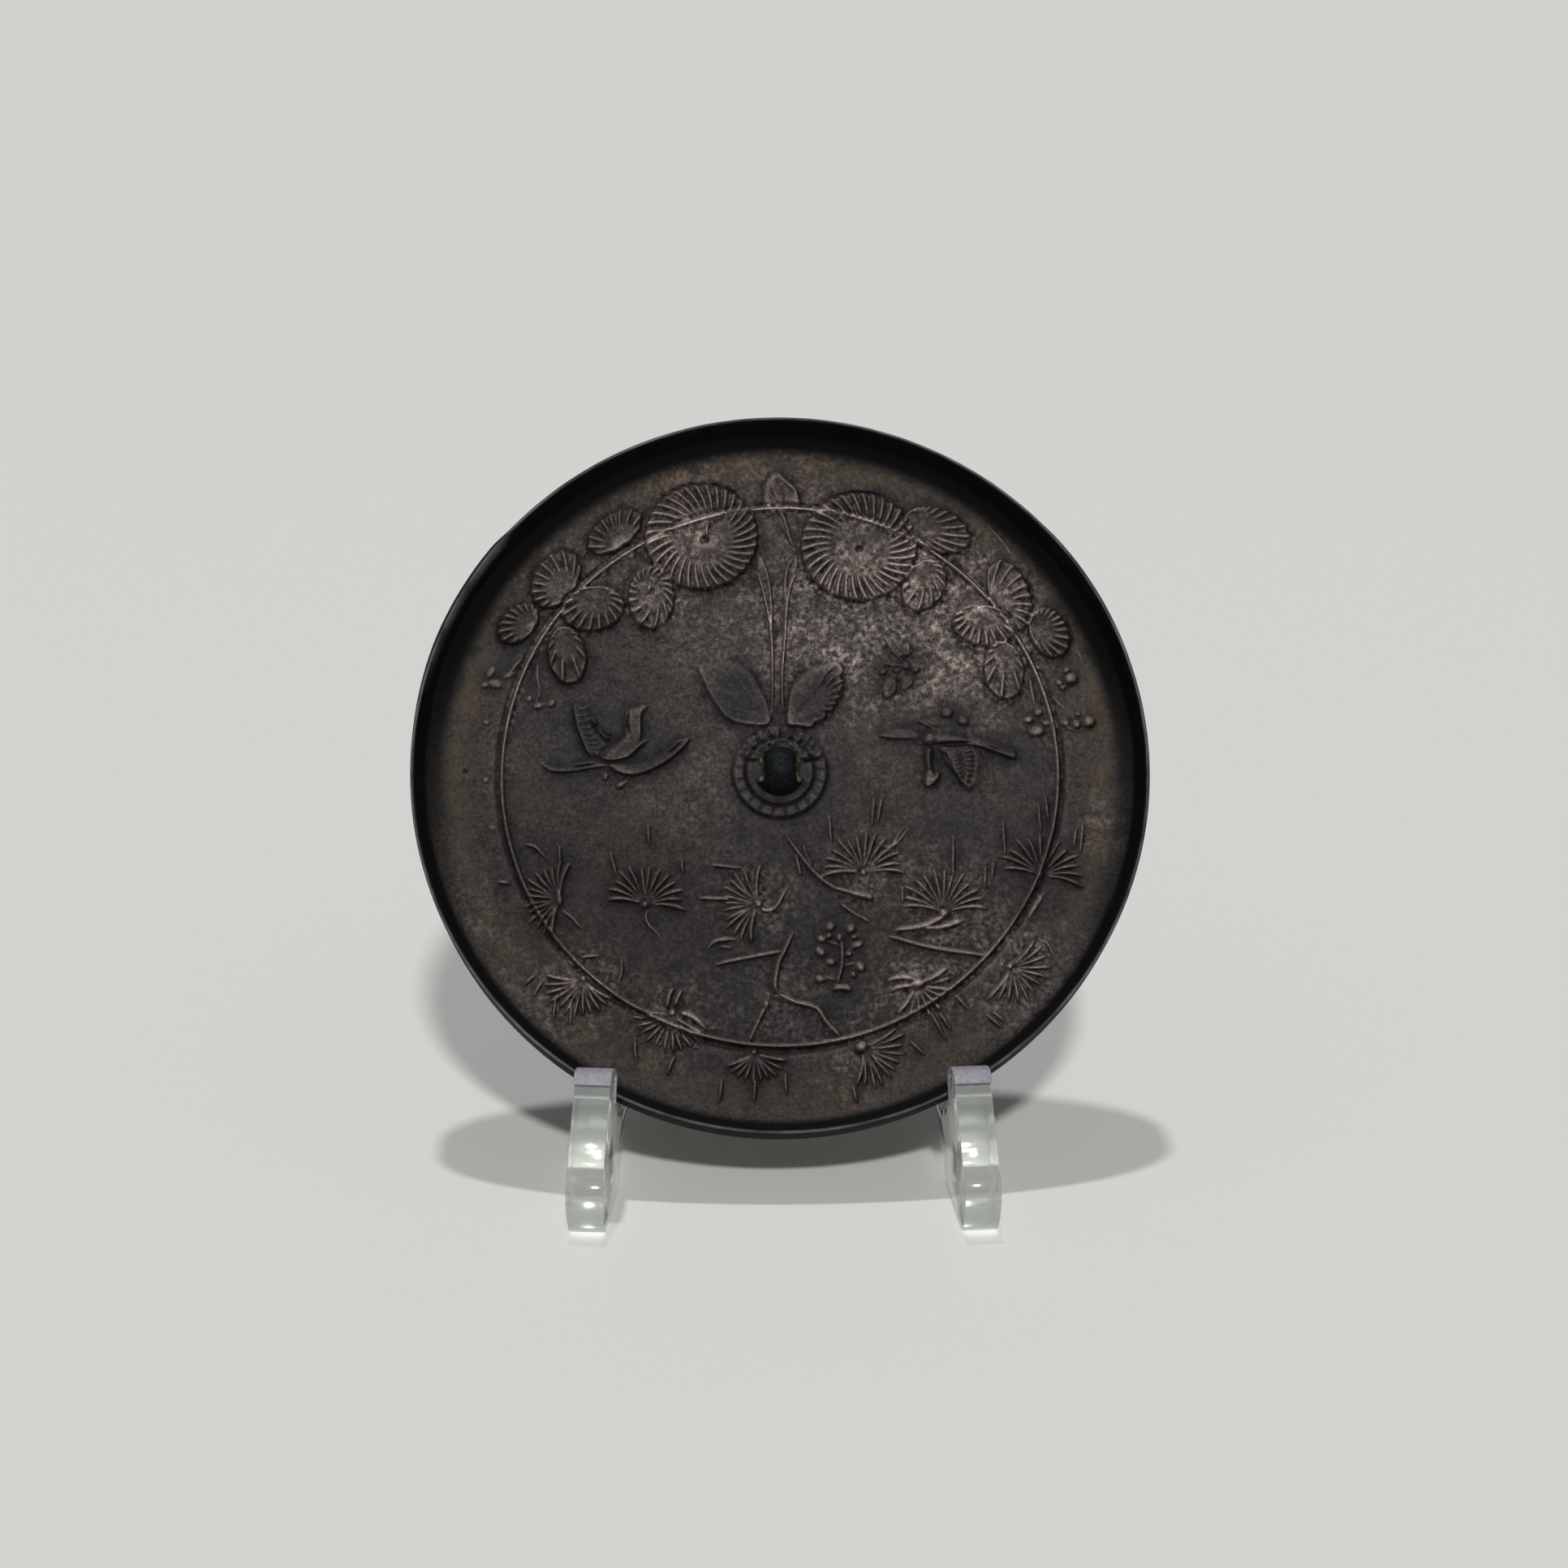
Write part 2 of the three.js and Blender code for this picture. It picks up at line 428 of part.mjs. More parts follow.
function legOutline() {
  const shape = new THREE.Shape();
  const to = (point) => shape.lineTo(...point);
  const round = (corner, end) => shape.quadraticCurveTo(...corner, ...end);
  shape.moveTo(FRONT_FOOT[0], 0);
  to([FRONT_FOOT[1], 0]);
  round([1.6, 0], [2.2, 1.4]);
  shape.bezierCurveTo(3.4, 4.6, 6.0, ARCH_HEIGHT - 0.4, 14.0, ARCH_HEIGHT);
  shape.bezierCurveTo(26.0, ARCH_HEIGHT + 0.3, ARCH_END - 3.5, 5.2, ARCH_END - 1.4, 1.4);
  round([ARCH_END - 0.9, 0], [ARCH_END, 0]);
  to([REAR_FOOT, 0]);
  round([REAR_FOOT + 1.8, 0], [REAR_FOOT + 1.0, 2.4]);
  to(beside(-12.6, POST_TOP - 3.0));
  round(beside(-11.6, POST_TOP + 0.3), beside(POST_FRONT - POST_LEAN - 2.4, POST_TOP + 0.3));
  round(beside(POST_FRONT - POST_LEAN, POST_TOP + 0.3), beside(POST_FRONT - POST_LEAN, POST_TOP - 2.2));
  to(beside(POST_FRONT, SLOT_FLOOR + 0.8));
  round(beside(POST_FRONT, SLOT_FLOOR), beside(POST_FRONT + 0.8, SLOT_FLOOR));
  to(beside(HOOK_BACK - 0.3, SLOT_FLOOR));
  round(beside(HOOK_BACK, SLOT_FLOOR), beside(HOOK_BACK, SLOT_FLOOR + 0.3));
  to(beside(HOOK_BACK, HOOK_TOP - 1.0));
  round(beside(HOOK_BACK, HOOK_TOP), beside(HOOK_BACK + 1.2, HOOK_TOP));
  round(beside(HOOK_FRONT - 0.6, HOOK_TOP), beside(HOOK_FRONT, HOOK_TOP - 2.4));
  to([-12.9, 11.7]);
  round([-14.0, 9.8], [NOSE[0] + 1.2, NOSE[1] + 2.2]);
  round([NOSE[0] - 0.4, NOSE[1] + 0.9], [NOSE[0], NOSE[1] - 1.0]);
  round([NOSE[0] + 0.6, 1.6], [FRONT_FOOT[0], 0]);
  return shape;
}

function padOutline() {
  const inner = SLOT_CLEARANCE + PAD_THICKNESS; // side of the pad that faces the hook
  const floor = SLOT_FLOOR + GAP;
  const top = HOOK_TOP + GAP;
  const front = HOOK_FRONT + GAP;
  const shape = new THREE.Shape();
  shape.moveTo(...beside(POST_FRONT + GAP + 0.6, floor));
  shape.lineTo(...beside(inner, floor));
  shape.lineTo(...beside(inner, top - 0.9));
  shape.quadraticCurveTo(...beside(inner, top), ...beside(inner + 1.5, top));
  shape.quadraticCurveTo(...beside(front - 0.7, top), ...beside(front, HOOK_TOP - 2.2));
  shape.lineTo(...beside(front + PAD_THICKNESS, HOOK_TOP - 2.2));
  shape.quadraticCurveTo(
    ...beside(front + PAD_THICKNESS - 0.6, top + PAD_THICKNESS),
    ...beside(inner + 1.5, top + PAD_THICKNESS),
  );
  shape.quadraticCurveTo(
    ...beside(SLOT_CLEARANCE, top + PAD_THICKNESS),
    ...beside(SLOT_CLEARANCE, top - 0.9),
  );
  shape.lineTo(...beside(SLOT_CLEARANCE, floor + PAD_THICKNESS));
  shape.lineTo(...beside(POST_FRONT + GAP + 0.6, floor + PAD_THICKNESS));
  shape.closePath();
  return shape;
}

// A plate cut to an outline that lies in the leg's own upright plane.
function uprightPlate(shape, thickness, curveSegments) {
  const geometry = new THREE.ExtrudeGeometry(shape, { depth: thickness, bevelEnabled: false, curveSegments });
  geometry.translate(0, 0, -thickness / 2);
  geometry.rotateX(Math.PI / 2);
  geometry.rotateZ(Math.PI / 2);
  return mergeVertices(stripped(geometry), 1e-4);
}

function stripped(geometry) {
  geometry.deleteAttribute('normal');
  geometry.deleteAttribute('uv');
  return geometry;
}

// ------------------------------------------------------------------ the object

const bronze = new THREE.MeshStandardMaterial({ color: 0x3d332e, metalness: 0.85, roughness: 0.5 });
const acrylic = new THREE.MeshStandardMaterial({
  color: 0xdfeae4, metalness: 0, roughness: 0.05, transparent: true, opacity: 0.35,
});
const padFilm = new THREE.MeshStandardMaterial({
  color: 0xb9aecb, metalness: 0, roughness: 0.6, transparent: true, opacity: 0.6,
});

const object = new THREE.Group();

const mirror = new THREE.Mesh(geometryOf(mirrorSolid()), bronze);
mirror.name = 'mirror';
const tilted = new THREE.Group();
tilted.position.z = LIP_HEIGHT;
tilted.rotation.x = radians(90 - LEAN);
tilted.add(mirror);
object.add(tilted);

for (const [side, word] of [[-1, 'left'], [1, 'right']]) {
  const stand = new THREE.Group();
  stand.position.set(side * LEG_SPACING, SLOT_AT, 0);
  stand.rotation.z = side * radians(LEG_TOE_IN);
  const leg = new THREE.Mesh(uprightPlate(legOutline(), LEG_THICKNESS, 6), acrylic);
  leg.name = `stand_leg_${word}`;
  const pad = new THREE.Mesh(uprightPlate(padOutline(), PAD_WIDTH, 5), padFilm);
  pad.name = `pad_${word}`;
  stand.add(leg, pad);
  object.add(stand);
}

// The origin is the middle of the whole object's footprint, on the surface it stands on.
object.updateMatrixWorld(true);
object.position.y = -new THREE.Box3().setFromObject(object, true).getCenter(new THREE.Vector3()).y;

export default object;
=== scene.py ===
# %% [markdown]
# # A cast bronze mirror in two clear acrylic legs
#
# The object is a round bronze mirror, 105 mm across. Its face is polished and looks away from us. What we
# see is its back: a thin high rim, a sunk field, one thin ring line, a small pierced knob for a cord, and a
# picture cast in low relief of blossoms, birds and pine needles. It leans back in two legs cut from clear
# acrylic sheet.
#
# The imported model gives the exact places. This script dresses it: a finer mesh for the relief, legs with
# smooth curves and polished edges, the soft pads, and a finish for each material.

import bmesh
import bpy
import numpy as np
from mathutils import Matrix, Vector


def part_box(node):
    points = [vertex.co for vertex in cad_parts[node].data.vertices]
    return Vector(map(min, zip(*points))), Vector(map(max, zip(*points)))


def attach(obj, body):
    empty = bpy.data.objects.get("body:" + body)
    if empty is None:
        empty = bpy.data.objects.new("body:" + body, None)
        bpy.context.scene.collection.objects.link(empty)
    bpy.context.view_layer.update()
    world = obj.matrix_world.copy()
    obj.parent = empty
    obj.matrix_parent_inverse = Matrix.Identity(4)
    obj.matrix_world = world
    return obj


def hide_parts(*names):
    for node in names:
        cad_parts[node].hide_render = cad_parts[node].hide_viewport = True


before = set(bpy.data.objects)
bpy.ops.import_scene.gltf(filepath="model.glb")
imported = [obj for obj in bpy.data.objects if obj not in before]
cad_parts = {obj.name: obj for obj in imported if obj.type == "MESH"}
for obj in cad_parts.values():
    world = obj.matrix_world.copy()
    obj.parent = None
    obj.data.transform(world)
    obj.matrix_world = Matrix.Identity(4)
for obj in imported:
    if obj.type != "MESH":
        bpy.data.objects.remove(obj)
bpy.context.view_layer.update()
scene = bpy.context.scene
MM = 0.001

# %% [markdown]
# Colours are easiest to pick as sRGB hex values, the way a paint program shows them, but a shader adds
# light up and needs them linear. One function turns the first into the second.

# %% Colour and node helpers
def colour(hex_code, alpha=1.0):
    """A linear colour for a shader, from an sRGB hex value."""
    parts = [int(hex_code[i:i + 2], 16) / 255 for i in (1, 3, 5)]
    return tuple(c / 12.92 if c <= 0.04045 else ((c + 0.055) / 1.055) ** 2.4 for c in parts) + (alpha,)


def add(material, kind, inputs=None, output=0, stops=(), **settings):
    """Adds one node and gives back one of its outputs.

    Each input is a plain value or another node's output. Stops are for a colour ramp: pairs of a position
    and a hex colour or a grey value.
    """
    tree = material.node_tree
    node = tree.nodes.new(kind)
    for name, value in settings.items():
        setattr(node, name, value)
    for name, value in (inputs or {}).items():
        if isinstance(value, bpy.types.NodeSocket):
            tree.links.new(value, node.inputs[name])
        else:
            node.inputs[name].default_value = value
    for i, (position, shade) in enumerate(stops):
        elements = node.color_ramp.elements
        element = elements[i] if i < len(elements) else elements.new(position)
        element.position = position
        element.color = colour(shade) if isinstance(shade, str) else (shade, shade, shade, 1)
    return node.outputs[output] if node.outputs else None


def new_material(name):
    """An empty material, ready for its nodes."""
    material = bpy.data.materials.new(name)
    material.use_nodes = True
    material.node_tree.nodes.clear()
    return material


print("#808080 sends back", round(colour("#808080")[0], 3), "of the light")

# %% [markdown]
# ## The camera
#
# It stands a little above the object and looks slightly down, as a visitor looks into a case. Its place is
# given from the middle of the mirror, and the lens is long, so the round outline is hardly distorted.

# %% Camera
LEAN = np.radians(31.7)  # how far the mirror leans back from upright
RADIUS = 52.5
RIM_HEIGHT = 5.8
mirror_low, mirror_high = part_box("mirror")
mirror_middle = (mirror_low + mirror_high) / 2
lip_middle = mirror_middle + Vector((0, -np.cos(LEAN), np.sin(LEAN))) * RIM_HEIGHT / 2 * MM
print("middle of the lip, mm:", [round(v / MM, 2) for v in lip_middle])

camera = bpy.data.objects.new("camera", bpy.data.cameras.new("camera"))
scene.collection.objects.link(camera)
camera.data.lens = 71.96
camera.data.sensor_width = 36
camera.data.clip_start = 0.01
CAMERA_DISTANCE = 424.5
CAMERA_HEIGHT = 187.0
CAMERA_SHIFT = 0.54
CAMERA_TURN = np.radians(-0.7)  # the camera stands a hair to one side
CAMERA_PITCH = np.radians(17.7)
to_the_right = Vector((np.cos(CAMERA_TURN), np.sin(CAMERA_TURN), 0))
away = Vector((np.sin(CAMERA_TURN), -np.cos(CAMERA_TURN), 0))
offset = (to_the_right * CAMERA_SHIFT + away * CAMERA_DISTANCE) * MM
camera.location = Vector((lip_middle.x, lip_middle.y, CAMERA_HEIGHT * MM)) + offset
camera.rotation_euler = (np.pi / 2 - CAMERA_PITCH, 0, CAMERA_TURN)
scene.camera = camera
print("camera, mm:", [round(v / MM, 1) for v in camera.location])

# %% [markdown]
# ## The relief, drawn as heights
#
# The picture was pressed into the clay mould with small tools, so every motif is a soft-edged swelling
# under half a millimetre high. Modelling each needle and petal as its own mesh and joining hundreds of them
# would be slow and would leave hard seams. A sheet of heights is closer to how the mould was made: each
# motif is a small stamp, a later stamp lies over an earlier one, and the whole sheet is softened a little
# as molten metal softens an edge. The sheet is only numbers. Later it lifts the points of a fine mesh.

# %% The sheet of heights and the stamps
SPAN = 52.0  # half the sheet's side, mm
PITCH = 0.05  # from one height to the next, mm
COUNT = int(2 * SPAN / PITCH) + 1
AXIS = np.linspace(-SPAN, SPAN, COUNT, dtype=np.float32)
relief = np.zeros((COUNT, COUNT), np.float32)
rng = np.random.default_rng(12)
LOWER_RIGHT = (0.45, -0.89)  # the side on which every motif is cut steep
TRENCH = 0.35  # depth of the trench under a motif's steep side, as a share of its height


def ease(t):
    """Goes from 0 to 1 as t does, with a soft start and a soft end."""
    t = np.clip(t, 0, 1)
    return t * t * (3 - 2 * t)


def around(points, margin):
    """The part of the sheet near some points: its place in the array, its x values and its y values."""
    low = np.min(points, 0) - margin
    high = np.max(points, 0) + margin
    first = np.clip(((low + SPAN) / PITCH).astype(int), 0, COUNT - 1)
    last = np.clip(((high + SPAN) / PITCH).astype(int) + 1, 1, COUNT)
    rows, cols = slice(first[1], last[1]), slice(first[0], last[0])
    return (rows, cols), AXIS[None, cols], AXIS[rows, None]


def bend(points, steps=6, closed=False):
    """A smooth path through all the points, with some steps between each two."""
    points = np.array(points, float)
    if len(points) < 3:
        return points
    if closed:
        ring = np.vstack([points[-1], points, points[:2]])
    else:
        ring = np.vstack([2 * points[0] - points[1], points, 2 * points[-1] - points[-2]])
    curve = []
    for a, b, c, d in zip(ring[:-3], ring[1:-2], ring[2:-1], ring[3:]):
        for t in np.arange(steps) / steps:
            curve.append(b + 0.5 * t * (c - a + t * (2 * a - 5 * b + 4 * c - d + t * (3 * (b - c) + d - a))))
    if not closed:
        curve.append(points[-1])
    return np.array(curve)


def tell(what):
    """Prints how much of the field is worked so far and how high it stands."""
    worked = 100 * np.mean(np.abs(relief) > 0.02)
    print(f"{what}: {worked:.1f} % of the sheet is worked, highest {relief.max():.2f} mm")


print("sheet:", relief.shape, "heights,", PITCH, "mm apart")

# %% [markdown]
# ### Lines
#
# Most of the drawing is lines. A raised line has a rounded section that tapers at both ends. The graver was
# pushed from the upper left, so every line is gentle on that side and steep, with a slight trench, on its
# lower right. A wedge is a slanting cut with one sharp edge, and a groove is simply sunk. All three measure
# how far each place is from a bent path.

# %% Functions for lines
def pulled(a, b, c, t):
    """A place on the curve from a to c that b pulls aside."""
    return np.array(a) * (1 - t) ** 2 + np.array(b) * 2 * t * (1 - t) + np.array(c) * t * t


def nearest(path, x, y):
    """Distance to a path, share of the way along it, and how far to its lower right (-1 to 1)."""
    gap = np.full(np.broadcast(x, y).shape, 1e9, np.float32)
    along = np.zeros_like(gap)
    below = np.zeros_like(gap)
    lengths = np.linalg.norm(np.diff(path, axis=0), axis=1)
    total = lengths.sum()
    walked = 0.0
    for (ax, ay), (bx, by), length in zip(path[:-1], path[1:], lengths):
        ux, uy = (bx - ax) / length, (by - ay) / length
        t = np.clip((x - ax) * ux + (y - ay) * uy, 0, length)
        vx, vy = x - ax - t * ux, y - ay - t * uy
        d = np.hypot(vx, vy)
        closer = d < gap
        gap = np.where(closer, d, gap)
        along = np.where(closer, (walked + t) / total, along)
        below = np.where(closer, (LOWER_RIGHT[0] * vx + LOWER_RIGHT[1] * vy) / (d + 0.02), below)
        walked += length
    return gap, along, below


def narrowing(along, start, end):
    """How wide a line still is, as its first and its last share taper off."""
    taper = np.clip(along / start, 0, 1) ** 0.5 if start else 1.0
    return taper * (np.clip((1 - along) / end, 0, 1) ** 0.5 if end else 1.0)


def stroke(points, width, rise, start=0.35, end=0.35, on_top=False):
    """A raised line. It falls away steeply on its lower right and gently on the other side."""
    path = bend(points)
    where, x, y = around(path, width + 0.6)
    gap, along, below = nearest(path, x, y)
    taper = narrowing(along, start, end)
    half = width * (0.62 - 0.3 * below)
    section = np.clip(1 - (gap / (half * taper + 1e-3)) ** 2, 0, 1) * taper ** 0.6
    if on_top:
        relief[where] += rise * section
    else:
        relief[where] = np.maximum(relief[where], rise * section)
        depth = TRENCH * rise * taper * np.clip(below, 0, 1)
        trench = np.exp(-((gap - half - 0.08) / 0.16) ** 2)
        relief[where] -= depth * trench * ((along > 0) & (along < 1))


def wedge(points, width, rise, start=0.2, end=0.2):
    """A slanting cut: a sharp drop on the right of the way the points run, and a long slope on the left."""
    path = bend(points)
    where, x, y = around(path, width + 0.4)
    gap, along, _ = nearest(path, x, y)
    taper = narrowing(along, start, end)
    step = np.gradient(path, axis=0)
    share = np.linspace(0, 1, len(path))
    spot = np.clip(along, 0, 1)
    nx, ny = np.interp(spot, share, path[:, 0]), np.interp(spot, share, path[:, 1])
    tx, ty = np.interp(spot, share, step[:, 0]), np.interp(spot, share, step[:, 1])
    right = (x - nx) * ty - (y - ny) * tx > 0
    drop_side = np.clip(1 - gap / 0.2, 0, 1)
    long_side = np.clip(1 - gap / (width * taper + 1e-3), 0, 1) ** 1.2
    level = np.where(right, drop_side, long_side)
    relief[where] = np.maximum(relief[where], rise * level * taper ** 0.6)
    trench = np.where(right, np.exp(-((gap - 0.36) / 0.2) ** 2), 0) * ((along > 0) & (along < 1))
    relief[where] -= 0.3 * rise * trench * taper


def groove(points, width, depth, start=0.3, end=0.3):
    """A sunk line."""
    path = bend(points)
    where, x, y = around(path, width / 2 + 0.1)
    gap, along, _ = nearest(path, x, y)
    half = width / 2 * narrowing(along, start, end)
    relief[where] -= depth * np.clip(1 - (gap / (half + 1e-3)) ** 2, 0, 1)


print("a line through 3 places is bent into", len(bend([(0, 0), (1, 1), (2, 0)])), "points")

# %% [markdown]
# ### Bumps, pits and plates
#
# Berries are flat-topped bumps and pits are their opposite. Leaves, wings and petals seen whole are plates:
# an outline that rises to an even height over a short bevel, with a narrow trench cut round it to make it
# stand out.

# %% Functions for bumps, pits and plates
def bump(x0, y0, size, rise, stretch=1.0, turn=0.0):
    """A round or oval swelling with a trench under its steep side."""
    where, x, y = around([(x0, y0)], size * max(stretch, 1) + 0.5)
    c, s = np.cos(np.radians(turn)), np.sin(np.radians(turn))
    a = ((x - x0) * c + (y - y0) * s) / (size * stretch)
    b = (-(x - x0) * s + (y - y0) * c) / size
    relief[where] = np.maximum(relief[where], rise * np.clip(1 - (a * a + b * b), 0, 1) ** 0.6)
    far = np.sqrt(a * a + b * b)
    lower = np.clip((LOWER_RIGHT[0] * (x - x0) + LOWER_RIGHT[1] * (y - y0)) / (far * size + 0.05), 0, 1)
    relief[where] -= TRENCH * rise * lower * np.exp(-((far - 1) * size / 0.18) ** 2)


def pit(x0, y0, size, depth):
    """A round hollow."""
    where, x, y = around([(x0, y0)], size + 0.1)
    relief[where] -= depth * np.clip(1 - ((x - x0) ** 2 + (y - y0) ** 2) / size ** 2, 0, 1)


def plate(outline, rise, bevel=0.5, rim=0.0, rim_width=0.25, steps=6):
    """An even raised area inside a smooth outline, with a bevel and, if asked, a raised rim."""
    path = bend(outline, steps, closed=True)
    where, x, y = around(path, 0.6)
    inside = np.zeros(np.broadcast(x, y).shape, bool)
    for (ax, ay), (bx, by) in zip(path, np.roll(path, -1, 0)):
        if ay == by:
            continue
        cross = ((ay > y) != (by > y)) & (x < ax + (y - ay) * (bx - ax) / (by - ay))
        inside ^= cross
    gap, _, below = nearest(np.vstack([path, path[:1]]), x, y)
    level = rise * ease(gap / (bevel * (1 + 0.65 * below)))
    level = level + rim * np.exp(-((gap - rim_width) / rim_width) ** 2)
    relief[where] = np.where(inside, np.maximum(relief[where], level), relief[where])
    relief[where] -= 0.2 * np.where(inside, 0, np.exp(-((gap - 0.12) / 0.24) ** 2))


print("a bump of 1 mm touches a patch of", around([(0, 0)], 1.5)[2].size, "heights a side")

# %% [markdown]
# ### Blossoms and needle tufts
#
# A blossom is an ellipse whose petals fan out from its heart. Each place is measured by the angle round the
# heart and by how far it is on the way to the outline. The ridges between petals grow from nothing near the
# heart to their full height at the edge, and the outline is slightly scalloped. A tuft is a fan of strokes
# from one root.

# %% A function for blossoms
def blossom(centre, radii, turn, heart, petals, rise, ridge=0.34, ridge_width=0.85, curl=0.0, begin=0.4,
            scallop=0.009, hollow=0.1, phase=0.0, trench=0.26):
    """An oval of petals round a heart. Begin is how far out the ridges start, as a share of the way."""
    cx, cy = centre
    hx, hy = heart
    where, x, y = around([centre], max(radii) + 1.0)
    c, s = np.cos(np.radians(turn)), np.sin(np.radians(turn))
    ex, ey = x - hx, y - hy
    far = np.maximum(np.hypot(ex, ey), 1e-3)
    ux, uy = np.where(far > 1e-3, ex / far, 1), ey / far
    px = ((hx - cx) * c + (hy - cy) * s) / radii[0]
    py = (-(hx - cx) * s + (hy - cy) * c) / radii[1]
    vx = (ux * c + uy * s) / radii[0]
    vy = (-ux * s + uy * c) / radii[1]
    vv = vx * vx + vy * vy
    pv = px * vx + py * vy
    reach = (-pv + np.sqrt(np.maximum(pv * pv - vv * (px * px + py * py - 1), 0))) / vv
    part = far / reach
    angle = np.arctan2(ey, ex) + curl * part
    beat = angle * petals / (2 * np.pi) + phase
    k = beat - np.round(beat)  # 0 on a ridge, half-way between ridges at +-0.5
    reach = reach * (1 + scallop * np.cos(2 * np.pi * beat))
    part = far / reach
    spacing = 2 * np.pi * far / petals
    off = np.abs(k) * spacing
    fade = ease((part - begin) / 0.3)
    wide = ridge_width * (0.45 + 0.55 * part)  # a ridge widens towards the edge
    line = np.clip(1 - (off / (wide / 2)) ** 2, 0, 1) * fade
    hollow_shape = (1 - (2 * np.abs(k)) ** 1.5) * fade * part
    body = rise - hollow * (1 - hollow_shape) * fade * part + ridge * line
    edge = ease((1 - part) * reach / 0.35)
    level = body * edge
    inside = part < 1
    relief[where] = np.where(inside, np.maximum(relief[where], level), relief[where])
    out = (part - 1) * reach
    relief[where] -= trench * np.where(out > -0.05, np.exp(-((out - 0.12) / 0.2) ** 2), 0)


# %% A function for tufts
def tuft(root, facing, spread, count, length, rise=0.46, width=0.52, bow=0.07, gap=0.1):
    """A fan of needles. Facing and spread are angles in degrees."""
    bump(*root, 0.55, rise)
    for share in np.linspace(-0.5, 0.5, count):
        angle = np.radians(facing + spread * share + rng.uniform(-1.5, 1.5))
        reach = length * rng.uniform(0.9, 1.06)
        along = np.array([np.cos(angle), np.sin(angle)])
        across = np.array([-along[1], along[0]])
        side = -bow * 2 * share * reach
        points = []
        for t in (gap, 0.4, 0.7, 1.0):
            points.append(np.array(root) + along * reach * t + across * side * 4 * t * (1 - t))
        edge = 1.0 + 0.2 * (abs(share) > 0.45)
        stroke(points, width * edge * rng.uniform(0.85, 1.1), rise * edge * rng.uniform(0.75, 1.1),
               start=0.6, end=0.2)

# %% [markdown]
# ### Softening
#
# Molten bronze doesn't fill the finest scratches, and wear rounds what it did fill. A slight blur of the
# sheet does both. The same blur makes smooth chance waves out of even noise.

# %% Functions for blur and chance waves
def soften(field, sigma_mm):
    """Gaussian blur in two passes, done in the frequency domain because the sheet is large."""
    sigma = sigma_mm / PITCH
    reach = int(np.ceil(3 * sigma))
    kernel = np.exp(-0.5 * (np.arange(-reach, reach + 1) / sigma) ** 2)
    kernel = (kernel / kernel.sum()).astype(np.float32)
    for axis in (0, 1):
        size = 1 << (field.shape[axis] + 2 * reach - 1).bit_length()
        spectrum = np.fft.rfft(np.pad(kernel, (0, size - len(kernel)))).astype(np.complex64)
        padded = np.pad(field, [(reach, reach) if a == axis else (0, 0) for a in (0, 1)], mode="edge")
        shape = [1, 1]
        shape[axis] = -1
        out = np.fft.irfft(np.fft.rfft(padded, size, axis=axis) * spectrum.reshape(shape), size, axis=axis)
        take = [slice(None), slice(None)]
        take[axis] = slice(2 * reach, 2 * reach + field.shape[axis])
        field = out[tuple(take)].astype(np.float32)
    return field


def clouds(scale_mm, seed):
    """Smooth random field with features about scale_mm across, mean 0 and spread 1."""
    speckle = np.random.default_rng(seed).normal(size=relief.shape).astype(np.float32)
    waves = soften(speckle, scale_mm / 2.5)
    return waves / waves.std()


thin_line = np.eye(1, 41, 20, dtype=np.float32)
print("a hair-thin line 1 mm high is softened to", round(float(soften(thin_line, 0.1).max()), 2), "mm")

# %% [markdown]
# ### The two full blossoms
#
# Two large blossoms sit on the ring near the top. Each is a low disc with about thirty curled petals round
# a small heart. One function draws every blossom; its numbers are the centre, the two radii and the place
# of the heart.

# %% The two full blossoms
blossom((-11.25, 35.25), (8.35, 8.15), 0, (-10.7, 35.1), 33, 0.6, curl=-0.5, phase=0.35)
blossom((11.7, 33.7), (8.6, 8.35), 0, (11.8, 33.4), 34, 0.6, curl=-0.45, phase=0.2)
# dark clefts in the left blossom, and the worn flat middles
stroke([(-10.4, 35.2), (-10.4, 36.4), (-10.2, 37.6)], 0.7, 0.78, 0.2, 0.2)
groove([(-9.8, 36.8), (-8.2, 38.2), (-6.0, 39.0)], 0.5, 0.2)
pit(-10.75, 34.75, 0.75, 0.5)
stroke([(11.9, 33.2), (12.0, 34.6)], 0.5, 0.72, 0.2, 0.2)
pit(11.75, 33.3, 0.6, 0.45)
tell("full blossoms")

# %% [markdown]
# ### The smaller blossoms
#
# Twelve smaller blossoms hang to both sides, seen half from the side. That is why each one's heart lies away
# from the middle of its outline: the petals fan out from there. A list keeps them together, so each can be
# moved alone.

